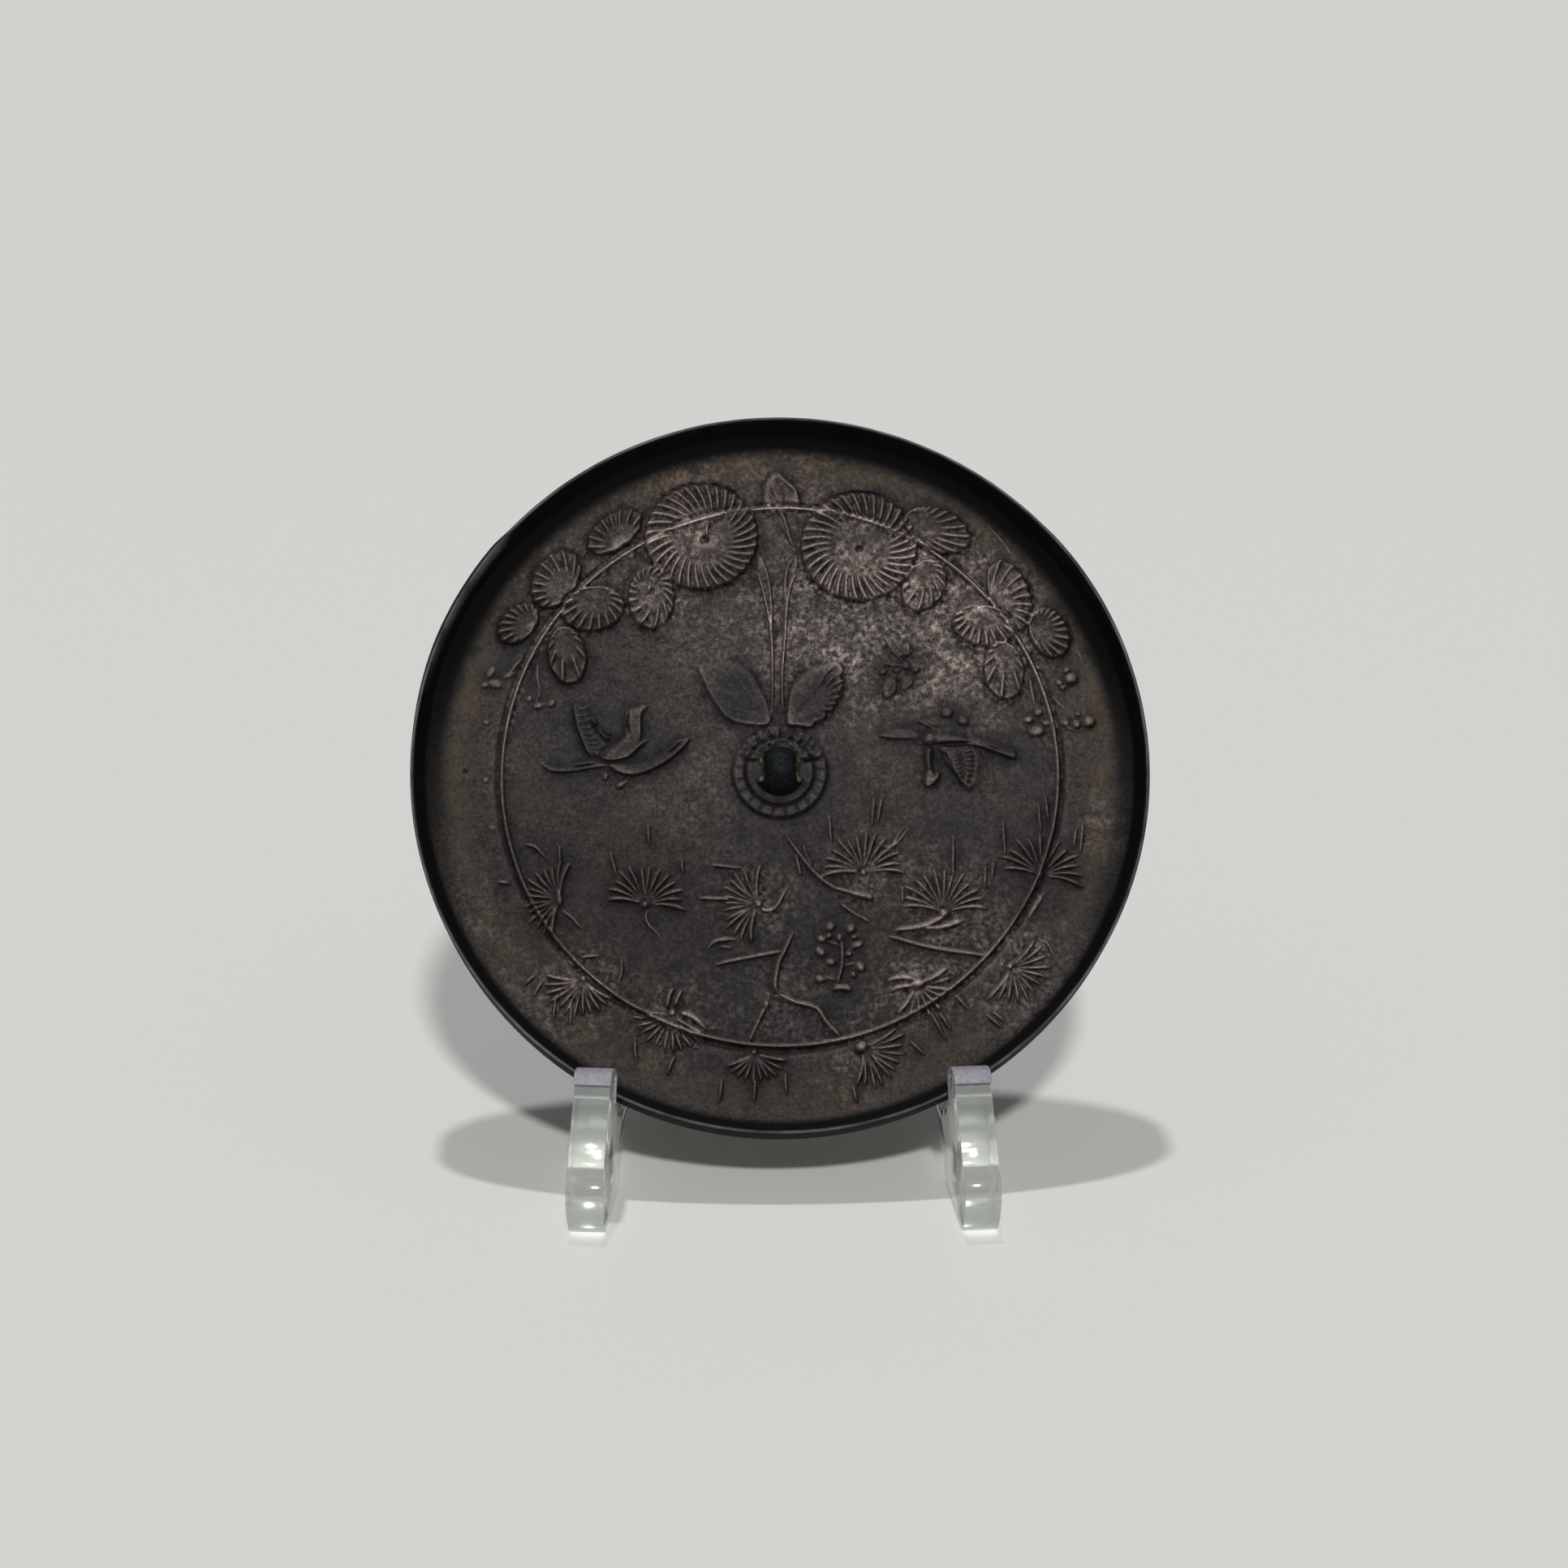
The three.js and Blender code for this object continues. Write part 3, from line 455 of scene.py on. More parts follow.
# %% The smaller blossoms
small_blossoms = [
    # centre, radii, turn, heart, petals, curl, phase
    ((-23.9, 36.2), (4.7, 2.7), 38, (-22.6, 34.2), 20, 0.2, 0.1),
    ((-32.4, 28.9), (4.8, 3.3), 62, (-31.0, 26.4), 22, -0.3, 0.3),
    ((-26.9, 24.4), (4.7, 3.5), 10, (-26.6, 26.9), 24, 0.1, 0.2),
    ((-18.5, 26.1), (4.9, 3.5), 90, (-18.7, 27.6), 17, 0.6, 0.4),
    ((-37.7, 22.2), (3.6, 2.5), 50, (-35.7, 21.6), 22, -0.2, 0.1),
    ((-30.6, 17.4), (4.5, 2.8), 100, (-31.2, 20.9), 18, 0.0, 0.5),
    ((23.2, 36.3), (5.2, 3.3), -26, (18.9, 37.6), 36, -0.3, 0.2),
    ((21.1, 27.8), (4.3, 3.1), 62, (20.6, 30.6), 20, 0.4, 0.0),
    ((33.6, 26.3), (5.7, 3.0), 108, (31.1, 24.0), 24, 0.35, 0.3),
    ((29.6, 21.6), (4.7, 3.2), -12, (29.2, 24.3), 26, 0.1, 0.5),
    ((39.1, 20.6), (4.1, 2.9), 112, (36.9, 21.4), 26, -0.2, 0.2),
    ((32.4, 14.9), (4.5, 3.0), 95, (32.8, 18.3), 16, 0.0, 0.3),
]
for centre, radii, turn, heart, petals, curl, phase in small_blossoms:
    blossom(centre, radii, turn, heart, petals, 0.5, ridge=0.34, ridge_width=0.8, curl=curl,
            begin=0.42, scallop=0.012, hollow=0.12, phase=phase, trench=0.22)
bump(-18.8, 27.4, 0.55, 0.75, 1.3, 70)
pit(-18.4, 26.6, 0.3, 0.2)
bump(-35.9, 21.4, 0.6, 0.5)
pit(23.1, 26.5, 0.7, 0.3)
tell("all blossoms")

# %% [markdown]
# ### The bud and the stems
#
# A bud stands on the ring at the top, and its stem runs on under the ring. They are low plates with a few
# raised edges and soft grooves.

# %% The bud and the stems
plate([(-2.1, 40), (-2.5, 42.6), (-1.9, 44.6), (-0.6, 45.7), (0.6, 45.0), (1.8, 43.6), (3.0, 42.0),
       (3.3, 40.0), (0.6, 39.4)], 0.3, 0.6)
stroke([(0.0, 45.4), (0.8, 44.0), (2.3, 42.6), (3.0, 41.2)], 0.75, 0.5, 0.3, 0.3)
stroke([(-1.6, 44.3), (-1.3, 42.4), (-0.2, 40.4)], 0.5, 0.42)
stroke([(-0.9, 43.8), (-0.4, 42.0), (0.4, 40.4)], 0.4, 0.4)
groove([(-0.4, 44.6), (0.7, 42.0), (0.8, 40.4)], 0.5, 0.12)
groove([(-1.0, 43.0), (-0.8, 41.4), (0.0, 40.2)], 0.3, 0.12)
# stem under the ring
stroke([(-0.2, 39.8), (0.9, 38.0), (1.5, 35.8), (2.3, 33.0)], 0.5, 0.36, 0.1, 0.4)
stroke([(-1.0, 39.4), (0.0, 37.6), (1.2, 35.6), (2.0, 33.4)], 0.32, 0.18, 0.3, 0.4)
plate([(-1.2, 39.5), (0.9, 39.5), (1.7, 36.2), (2.3, 33.6), (1.0, 35.8), (-0.2, 38.0)], 0.12, 0.4)
tell("bud and stems")

# %% [markdown]
# ### The double stems
#
# Two long double stems fall from the blossoms to the knob. Each is a thin plate with a sharp line along its
# sides.

# %% The double stems
plate([(-3.4, 31.6), (-2.2, 32.2), (-1.3, 27.5), (-0.9, 23), (-0.75, 14), (-0.9, 8), (-1.25, 8), (-1.2, 14),
       (-1.4, 23), (-2.3, 27.0)], 0.16, 0.25)
plate([(2.9, 31.2), (2.2, 32.2), (0.9, 28.0), (0.55, 23), (0.2, 14), (0.4, 8), (0.8, 8), (0.65, 14),
       (1.1, 23), (1.8, 27.4)], 0.16, 0.25)
stroke([(-3.4, 30.4), (-2.4, 27.6), (-1.6, 24.0), (-1.05, 20.0), (-0.95, 14.0), (-1.15, 7.4)], 0.42, 0.34,
       0.15, 0.1)
stroke([(-2.3, 31.8), (-1.6, 29.4), (-1.15, 26.0), (-0.95, 20.5)], 0.42, 0.36, 0.15, 0.3)
stroke([(2.9, 30.0), (1.9, 28.2), (1.25, 25.0), (0.9, 20.0), (0.45, 14.0), (0.6, 7.6)], 0.42, 0.34, 0.1, 0.1)
stroke([(2.1, 32.1), (1.3, 30.4), (0.95, 28.0), (0.9, 25.6)], 0.4, 0.36, 0.15, 0.3)
tell("double stems")

# %% [markdown]
# ### Two leaves
#
# Two broad leaves spread above the knob. The left one is worn almost flat. The right one has a toothed
# edge, so it is an outline with teeth and a stroke that runs out to each tooth.

# %% Two leaves
plate([(-1.4, 7.0), (-4.6, 6.8), (-7.6, 7.8), (-9.6, 10.2), (-11.0, 13.0), (-11.9, 15.8), (-9.6, 16.4),
       (-7.2, 16.8), (-4.4, 15.4), (-2.6, 12.6), (-1.4, 9.6)], 0.24, 0.6, 0.08, 0.3)
for i in range(5):
    start = np.array([-1.6, 7.6])
    tip = np.array([(-10.6, 15.4), (-8.2, 16.0), (-9.6, 12.4), (-5.4, 15.2), (-7.6, 9.4)][i])
    stroke([start + (tip - start) * 0.3, start + (tip - start) * 0.65 + (0.2, 0.3), tip], 0.5, 0.1, 0.4,
           0.4, True)
plate([(0.9, 7.0), (0.9, 10.0), (1.8, 13.2), (4.2, 15.2), (6.6, 16.1), (8.4, 16.6), (9.4, 15.2),
       (9.0, 13.7), (9.5, 12.9), (8.6, 11.9), (8.9, 10.8), (7.9, 10.1), (7.9, 9.0), (6.8, 8.7), (6.5, 7.6),
       (5.4, 7.4), (4.6, 6.4), (2.4, 6.6)], 0.42, 0.45, 0.08, 0.3, 4)
for tip in [(8.2, 15.9), (9.2, 14.8), (9.5, 13.5), (9.3, 12.2), (9.0, 11.0), (8.4, 9.9), (7.7, 8.9),
            (6.8, 8.0), (5.7, 7.2)]:
    start = np.array([2.6, 9.0])
    tip = np.array(tip)
    stroke([start + (tip - start) * 0.5, start + (tip - start) * 0.8 + (-0.1, 0.2), tip], 0.75, 0.54, 0.5,
           0.15)
groove([(2.2, 8.6), (5.0, 11.4), (7.6, 14.4)], 0.5, 0.1)
tell("leaves")

# %% [markdown]
# ### Sprigs and berries
#
# Small berries and bits of stem fill the gaps at both sides, as a craftsman's punch would leave them. Each
# is a flat-topped bump with its own size and turn.

# %% Sprigs and berries
for x, y, size, rise, stretch, turn in [
    (-41.6, 14.9, 0.7, 0.25, 1.6, 60), (-40.9, 13.2, 0.8, 0.25, 1.5, -20), (-39.0, 14.5, 0.5, 0.2, 2.0, 30),
    (-42.4, 13.0, 0.5, 0.2, 1.3, 0), (-36.0, 10.9, 0.5, 0.2, 1.2, 60), (-34.7, 9.9, 0.6, 0.28, 1.4, 0),
    (-32.8, 10.2, 0.6, 0.28, 1.3, 40), (-42.0, 7.5, 0.5, 0.15, 1.2, 0), (-42.0, -1.0, 0.5, 0.15, 1.2, 40),
    (-41.0, -8.0, 0.5, 0.12, 1.4, 0), (42.1, 13.7, 0.95, 0.45, 1.1, 0), (41.5, 14.9, 0.5, 0.35, 1.2, 30),
    (40.4, 13.0, 0.5, 0.3, 1.2, 0), (40.9, 12.3, 0.45, 0.3, 1.1, 0), (37.3, 8.6, 0.6, 0.36, 1.2, 30),
    (35.8, 7.5, 0.6, 0.34, 1.3, 0), (37.0, 5.8, 0.85, 0.4, 1.4, 15), (38.3, 7.0, 0.5, 0.3, 1.1, 0),
    (44.5, 7.2, 0.85, 0.42, 1.2, 20), (42.7, 6.8, 0.7, 0.38, 1.1, 0), (41.1, 7.0, 0.55, 0.3, 1.4, 0),
    (43.0, 8.4, 0.4, 0.25, 1.1, 0), (24.1, 8.6, 0.85, 0.42, 1.2, 10), (26.4, 7.4, 0.8, 0.4, 1.2, -10),
    (-24.9, -0.7, 0.45, 0.35, 1.6, 90), (-22.7, -1.9, 0.5, 0.35, 1.6, 30), (-21.9, -1.3, 0.35, 0.25, 1.2, 0),
]:
    bump(x, y, size, rise, stretch, turn)
for points in [
    [(-39.0, 14.5), (-37.9, 16.0), (-37.0, 17.0)], [(-34.9, 16.5), (-34.8, 14.0), (-34.4, 12.0)],
    [(-34.4, 12.0), (-34.8, 10.4), (-33.0, 10.0)], [(36.0, 15.0), (36.4, 12.0), (36.9, 9.0)],
    [(39.2, 11.2), (40.2, 10.0), (41.2, 9.2)], [(43, 18), (43.6, 17), (44, 16)],
    [(30, 37.5), (32.5, 34.7), (34, 32.5)], [(35.6, 7.0), (36.2, 5.4), (37.4, 5.0)],
    [(41.0, 8.2), (41.4, 6.4), (43.0, 5.8)],
]:
    stroke(points, 0.45, 0.18)
pit(-45.0, 0.2, 0.5, 0.2)
tell("berries")

# %% [markdown]
# ### The left bird
#
# A crane flies to the left with its wings up. Its feathers and its tail are slanting cuts: steep on one
# side and long on the other, as a graver held at an angle makes them in the mould.

# %% The left bird
plate([(-29.5, 10.2), (-29.1, 7.4), (-28.6, 5.4), (-27.4, 3.2), (-26.0, 2.2), (-24.6, 3.0), (-24.4, 4.4),
       (-25.6, 6.0), (-26.6, 8.0), (-28.0, 10.0)], 0.22, 0.6)
wedge([(-26.6, 2.3), (-27.5, 3.0), (-28.3, 4.8), (-29.0, 6.6), (-29.4, 8.6), (-29.6, 10.2)][::-1], 1.5, 0.5)
for t in np.linspace(0.06, 0.94, 10):
    outer = pulled((-29.2, 10.0), (-28.8, 4.6), (-26.4, 2.4), t)
    inner = outer + (1.9, 0.5 - 0.9 * t)
    stroke([outer, (outer + inner) / 2 + (0.1, -0.2), inner], 0.34, 0.18, 0.2, 0.2, True)
stroke([(-27.0, 8.1), (-26.6, 7.4), (-26.2, 6.9)], 0.6, 0.52, 0.2, 0.2)
stroke([(-26.0, 6.2), (-25.2, 5.3), (-24.4, 4.7)], 0.6, 0.5, 0.2, 0.2)
stroke([(-25.4, 6.4), (-24.8, 6.0), (-24.1, 5.5)], 0.4, 0.34, 0.2, 0.2)
groove([(-27.3, 7.9), (-26.5, 6.5), (-25.6, 5.3), (-24.6, 4.4)], 0.4, 0.22)
plate([(-19.0, 9.8), (-20.0, 7.4), (-20.0, 5.4), (-20.4, 4.0), (-22.4, 2.1), (-25.6, 1.8), (-25.0, 3.4),
       (-23.4, 4.6), (-22.4, 6.0), (-22.4, 8.8), (-21.6, 9.6)], 0.4, 0.5)
wedge([(-19.0, 9.7), (-19.9, 8.9), (-20.0, 7.2), (-20.0, 5.2), (-20.3, 4.2)][::-1], 1.1, 0.6)
wedge([(-25.2, 1.7), (-22.9, 1.9), (-21.4, 2.5), (-20.2, 3.7), (-18.9, 4.7)], 1.4, 0.56)
groove([(-21.7, 9.3), (-21.9, 7.2), (-21.5, 5.6)], 0.6, 0.3)
wedge([(-24.5, 1.1), (-23.2, 0.1), (-21.4, -0.4), (-19.6, -0.1), (-17.7, 0.7), (-16.0, 1.7), (-14.5, 3.0),
       (-13.4, 4.2), (-13.0, 5.1)], 1.9, 0.62, 0.1, 0.12)
stroke([(-16.2, 2.8), (-15.2, 3.7), (-14.0, 4.7)], 0.5, 0.62, 0.3, 0.3)
wedge([(-34.3, 1.6), (-33.0, 0.4), (-31.2, 0.1), (-29.0, 0.3), (-26.4, 0.8), (-24.4, 1.0)], 0.9, 0.4)
stroke([(-30.0, 1.0), (-28.0, 1.2), (-26.2, 1.5)], 0.45, 0.42)
tell("left bird")

# %% [markdown]
# ### The right bird
#
# The second crane flies the other way, with its neck down and one wing hanging. The wing carries two rows
# of short curved feathers, placed along curves so that they follow its edge.

# %% The right bird
plate([(14.2, 5.4), (15.6, 6.1), (17.4, 6.6), (19.4, 6.2), (20.3, 5.1), (18.4, 5.0), (16.0, 4.9)], 0.3, 0.4)
wedge([(14.2, 5.3), (16.0, 4.9), (18.2, 4.9), (20.2, 4.8)], 1.0, 0.38)
stroke([(19.8, 7.5), (20.8, 7.0), (21.9, 6.4)], 0.6, 0.34)
stroke([(20.9, 7.6), (22.0, 7.0), (23.0, 6.6)], 0.4, 0.26)
groove([(20.3, 5.2), (21.2, 5.9), (22.6, 6.1)], 0.45, 0.25)
plate([(20.3, 4.2), (20.8, 5.1), (22.2, 5.7), (24.6, 5.6), (27.2, 4.9), (27.2, 4.2), (24.8, 4.1),
       (22.4, 3.9), (21.0, 3.5)], 0.5, 0.5)
bump(21.5, 4.7, 0.9, 0.66, 1.3, 25)
groove([(22.6, 4.0), (24.6, 3.9), (26.6, 3.8)], 0.4, 0.25)
wedge([(26.6, 4.0), (29.0, 3.5), (31.2, 2.7), (33.0, 2.0), (33.9, 1.8)], 1.6, 0.66, 0.1, 0.05)
stroke([(28.8, 4.2), (31.0, 3.5), (32.6, 2.8)], 0.4, 0.62)
plate([(20.8, 3.4), (21.9, 3.4), (22.0, 1.6), (22.2, 0.0), (22.8, -0.9), (22.2, -1.9), (21.0, -2.5),
       (20.4, -1.4), (20.7, 0.4)], 0.46, 0.45)
stroke([(21.3, 3.2), (21.3, 1.6), (21.4, -0.2)], 0.75, 0.66, 0.15, 0.2)
stroke([(22.4, 0.0), (22.6, -0.9), (21.8, -1.9)], 0.8, 0.5, 0.3, 0.2)
plate([(22.6, 3.8), (25.6, 3.9), (27.4, 3.9), (27.9, 1.2), (27.7, -0.8), (26.9, -2.9), (25.7, -1.0),
       (24.4, 0.8), (23.3, 2.4)], 0.26, 0.4)
wedge([(27.3, 3.9), (27.9, 2.2), (27.9, 0.4), (27.5, -1.4), (26.9, -2.8)], 1.3, 0.42)
wedge([(26.8, -2.9), (25.6, -0.9), (24.3, 0.9), (23.3, 2.4)][::-1], 0.8, 0.34)
for t in np.linspace(0.06, 0.92, 8):
    outer = pulled((27.6, 3.4), (28.6, 0.8), (26.9, -2.6), t)
    inner = pulled((23.4, 3.0), (24.0, 1.4), (25.9, -1.4), t)
    middle = (outer + inner) / 2
    stroke([outer, (outer + middle) / 2 + (-0.1, -0.3), middle + (0.1, 0.2)], 0.5, 0.24, 0.15, 0.3, True)
    stroke([middle - (0.1, 0), (inner + middle) / 2 + (-0.1, -0.3), inner + (0, 0.2)], 0.5, 0.22, 0.15, 0.3,
           True)
tell("right bird")

# %% [markdown]
# ### The butterfly
#
# A small insect hovers above the right bird. It is worn, so only its wings and a few lines of its body
# remain.

# %% The butterfly
plate([(15.3, 19.9), (16.0, 18.2), (17.3, 17.2), (18.8, 17.2), (19.4, 18.2), (18.6, 19.2), (17.2, 18.9),
       (16.2, 20.0)], 0.24, 0.35)
stroke([(15.2, 20.4), (15.9, 18.8), (17.1, 17.2), (18.2, 16.2)], 0.6, 0.42)
stroke([(16.8, 19.4), (17.4, 18.4), (18.0, 17.4)], 0.5, 0.38)
stroke([(18.7, 19.2), (18.7, 18.2), (18.4, 17.2)], 0.5, 0.38)
for x, y, size, stretch, turn in [(18.3, 15.6, 0.6, 1.3, 0), (15.0, 14.7, 0.5, 1.3, 20),
                                  (19.8, 15.1, 0.5, 1.3, 40), (17.0, 15.0, 0.5, 1.4, 0)]:
    bump(x, y, size, 0.36, stretch, turn)
stroke([(15.0, 16.0), (16.4, 15.7), (17.9, 15.7)], 0.5, 0.36)
plate([(14.7, 13.2), (15.5, 14.1), (16.9, 13.9), (17.1, 12.6), (16.4, 11.2), (15.2, 10.8), (14.6, 12.0)],
      0.34, 0.4)
plate([(17.2, 13.2), (17.8, 14.2), (19.1, 14.2), (19.5, 13.2), (18.4, 12.1), (17.4, 12.1)], 0.32, 0.4)
stroke([(15.3, 11.6), (16.0, 12.8), (16.4, 13.6)], 0.4, 0.16, 0.3, 0.3, True)
stroke([(17.8, 12.6), (18.4, 13.2), (18.8, 13.8)], 0.35, 0.14, 0.3, 0.3, True)
tell("butterfly")

# %% [markdown]
# ### Tufts of pine needles
#
# Thirteen tufts of pine needles cover the lower half. Each is a fan of thin strokes from one root. The same
# function draws them all, with a little chance in the angle and the length of each needle.

# %% Tufts of pine needles
tufts = [
    ((11.8, -14.9), 93, 186, 14, 5.8), ((23.0, -20.7), 88, 168, 13, 6.3), ((37.0, -15.4), 76, 186, 13, 6.0),
    ((-19.2, -19.4), 82, 178, 13, 5.9), ((-3.1, -19.4), 172, 172, 14, 5.6),
    ((-31.2, -18.6), 168, 186, 14, 5.4), ((-27.8, -30.0), 250, 150, 12, 5.6),
    ((-15.3, -35.0), 250, 160, 12, 5.6), ((-3.8, -40.4), 275, 136, 10, 4.8),
    ((11.3, -39.9), 325, 130, 11, 6.0), ((32.3, -28.5), 320, 172, 12, 5.6),
]
for root, facing, spread, count, length in tufts:
    tuft(root, facing, spread, count, length)
tuft((19.0, -30.9), 312, 150, 9, 5.2, rise=0.42, width=0.7)
stroke([(-3.0, -20.0), (-1.8, -20.4), (-0.5, -19.7), (1.0, -16.8)], 0.6, 0.36, 0.1, 0.3)
stroke([(-31.4, -17.0), (-31.2, -19.5)], 0.9, 0.45, 0.2, 0.2)
stroke([(-31.0, -20.0), (-29.6, -21.2), (-28.0, -22.8)], 0.5, 0.26)
stroke([(-19.1, -19.8), (-18.8, -22.0), (-17.0, -24.0)], 0.5, 0.26)
stroke([(37.2, -15.5), (36.6, -16.8), (35.4, -17.8)], 0.7, 0.32)
stroke([(37.4, -17.8), (36.2, -19.8), (35.0, -21.6)], 0.9, 0.2)
stroke([(-16.0, -34.2), (-15.7, -32.6), (-15.1, -31.4)], 0.7, 0.55, 0.2, 0.2)
stroke([(-14.9, -34.0), (-14.5, -32.8), (-13.9, -31.7)], 0.7, 0.55, 0.2, 0.2)
stroke([(-14.2, -34.9), (-12.2, -35.7), (-10.4, -37.4)], 1.0, 0.42, 0.3, 0.3)
bump(11.2, -39.8, 0.95, 0.55)
bump(23.1, -20.9, 0.6, 0.5, 1.4, 20)
bump(19.2, -30.8, 0.8, 0.45, 1.5, 0)
stroke([(14.9, -30.4), (17.0, -30.1), (19.5, -30.3)], 0.8, 0.4)
stroke([(15.2, -32.0), (17.0, -31.4), (19.0, -31.2)], 0.7, 0.4)
stroke([(36.4, -24.8), (37.6, -25.2), (38.7, -27.3)], 0.45, 0.3)
stroke([(13.8, -10.4), (15.6, -11.2), (17.4, -8.3)], 0.45, 0.28)
stroke([(14.2, -12.2), (16.6, -10.6), (18.4, -8.2)], 0.4, 0.28)
tell("tufts")

# %% [markdown]
# ### Single needles
#
# Fallen needles lie between the tufts. Each is one short stroke.

# %% Single needles
for points in [
    [(7.0, -6.3), (7.3, -10.6)], [(13.5, -3.8), (13.1, -8.0)], [(14.6, -3.8), (13.9, -7.5)],
    [(24.7, -9.3), (24.5, -15.5)], [(29.2, -14.0), (29.0, -17.2)], [(30.4, -12.9), (30.0, -16.2)],
    [(17.3, -16.8), (17.3, -19.5)], [(31.8, -7.2), (32.0, -12.5)], [(36.9, -4.9), (37.2, -9.2)],
    [(37.9, -3.4), (38.3, -7.2)], [(43.2, -7.8), (42.7, -12.2)], [(42.2, -8.6), (41.8, -11.6)],
    [(-24.2, -11.4), (-23.2, -15.3)], [(-18.8, -7.6), (-18.6, -10.7)], [(-14.0, -12.4), (-13.8, -15.1)],
    [(-9.9, -13.6), (-7.6, -14.0), (-5.4, -14.1)], [(-36.6, -10.5), (-34.8, -11.0), (-33.1, -12.7)],
    [(-31.4, -10.7), (-31.2, -13.7)], [(-40.0, -16.0), (-38.2, -16.3)], [(-28.4, -27.0), (-25.5, -26.7)],
    [(-22.5, -27.0), (-22.4, -29.0), (-23.0, -31.0)], [(-20.6, -38.0), (-20.3, -42.2)],
    [(-15.0, -41.0), (-16.0, -43.7)], [(-8.3, -44.0), (-8.7, -47.6)], [(-3.6, -44.2), (-3.9, -47.6)],
    [(0.5, -43.4), (0.7, -46.6)], [(10.0, -45.4), (10.5, -47.8)], [(28.7, -35.2), (31.0, -37.3)],
    [(29.6, -34.8), (31.6, -36.6)], [(21.0, -34.9), (23.0, -38.9)], [(22.1, -34.9), (23.9, -37.6)],
    [(24.4, -32.4), (26.5, -34.8)], [(18.0, -39.0), (20.1, -41.1)], [(-34.9, -32.6), (-33.3, -29.9)],
    [(-31.6, -32.4), (-32.0, -36.2)], [(-29.4, -32.6), (-29.6, -36.6)], [(-36.2, -31.0), (-34.6, -29.4)],
]:
    stroke(points, 0.5, 0.42 * rng.uniform(0.8, 1.1), 0.4, 0.4)
stroke([(-10.4, -25.7), (-9.0, -24.7), (-6.0, -24.4)], 0.65, 0.3)
stroke([(-9.0, -25.4), (-6.8, -25.6)], 0.35, 0.2)
tell("needles")

# %% [markdown]
# ### Boughs
#
# Thin boughs join the tufts. They are long strokes with hardly any taper.

# %% Boughs
boughs = [
    ([(0.8, -9.2), (2.3, -11.5), (5.0, -15.0), (7.5, -17.0), (10.0, -17.8), (13.2, -18.7)], 0.5, 0.3),
    ([(10.0, -17.9), (11.6, -18.3), (13.2, -18.7)], 0.8, 0.36), ([(2.2, -12.0), (2.9, -15.2)], 0.4, 0.2),
    ([(8.5, -19.3), (10.4, -20.8), (12.7, -22.0)], 0.4, 0.22),
    ([(15.0, -24.0), (20.0, -25.5), (24.0, -26.3), (29.2, -27.0)], 0.5, 0.32),
    ([(16.0, -23.3), (20.0, -22.8), (23.3, -21.3)], 0.7, 0.36),
    ([(20.0, -23.0), (23.0, -22.9), (25.9, -21.9)], 0.7, 0.34),
    ([(1.8, -23.4), (0.5, -26.3), (-0.3, -28.0), (-0.8, -31.0), (-0.3, -32.4)], 0.6, 0.36),
    ([(-0.4, -32.3), (2.0, -33.5), (5.0, -34.4), (6.4, -36.4), (8.4, -38.6)], 0.6, 0.34),
    ([(-9.4, -28.1), (-4.0, -27.0), (0.3, -26.2)], 0.45, 0.28),
    ([(-2.1, -34.0), (-3.1, -36.0), (-4.6, -39.3)], 0.5, 0.3),
    ([(-11.6, -18.5), (-9.4, -18.6), (-7.0, -18.7)], 0.45, 0.25),
    ([(6.6, -37.8), (7.4, -37.2), (8.2, -38.4)], 0.4, 0.25),
    ([(4.6, -13.8), (3.6, -12.0), (3.4, -10.6)], 0.35, 0.18),
]
for points, width, rise in boughs:
    stroke(points, width * 1.15, rise * 1.35, 0.15, 0.15)
bump(-2.1, -33.8, 0.45, 0.38, 1.3, 80)
tell("boughs")

# %% [markdown]
# ### A small plant
#
# A small upright plant with berries grows near the bottom.

# %% A small plant
stroke([(8.5, -24.0), (8.7, -26.0), (8.6, -28.4), (7.9, -31.0)], 0.55, 0.42, 0.2, 0.15)
stroke([(7.2, -31.7), (8.6, -31.5), (10.0, -31.8)], 0.9, 0.45, 0.2, 0.2)
for x, y, size, stretch, turn in [
    (7.0, -22.7, 0.75, 1.0, 0), (9.9, -23.0, 0.7, 1.2, 40), (5.8, -24.5, 0.6, 1.3, -20),
    (5.6, -26.3, 0.7, 1.4, -40), (10.8, -25.3, 0.6, 1.7, 15), (7.0, -27.8, 0.6, 1.4, 0),
    (11.2, -28.5, 0.7, 1.3, -50), (5.5, -30.2, 0.6, 1.4, -10), (8.3, -24.3, 0.5, 1.2, 90),
    (9.6, -26.6, 0.4, 1.4, 30), (6.8, -24.0, 0.45, 1.2, 10), (10.4, -24.2, 0.4, 1.3, 0),
    (10.2, -29.6, 0.4, 1.2, -60),
]:
    bump(x, y, size, 0.38, stretch, turn)
for points in [[(8.6, -25.6), (7.4, -25.0), (6.2, -24.8)], [(8.7, -27.0), (9.8, -26.0), (10.6, -25.6)],
               [(8.4, -28.4), (10.0, -28.0), (11.0, -28.2)], [(8.0, -30.4), (6.8, -30.0), (5.9, -30.2)]]:
    stroke(points, 0.35, 0.2)
tell("plant")

# %% [markdown]
# ### The ring
#
# A thin ring divides the field and runs over the blossoms. In the mould it was scratched last, with a
# turning tool, so it stands on top of everything. Its outer side is cut deeper than its inner side.

# %% The ring
RING_RADIUS = 39.75
where, x, y = around([(0, 0)], 41.5)
radius = np.hypot(x, y)
angle = np.arctan2(y, x)
centre_line = RING_RADIUS + 0.12 * np.sin(2 * angle + 0.6) + 0.05 * np.sin(5 * angle + 2)
off = radius - centre_line
line = np.clip(1 - (off / np.where(off < 0, 0.42, 0.3)) ** 2, 0, 1) ** 0.8
strength = 0.85 + 0.15 * np.sin(7 * angle + 1) * np.sin(3 * angle)
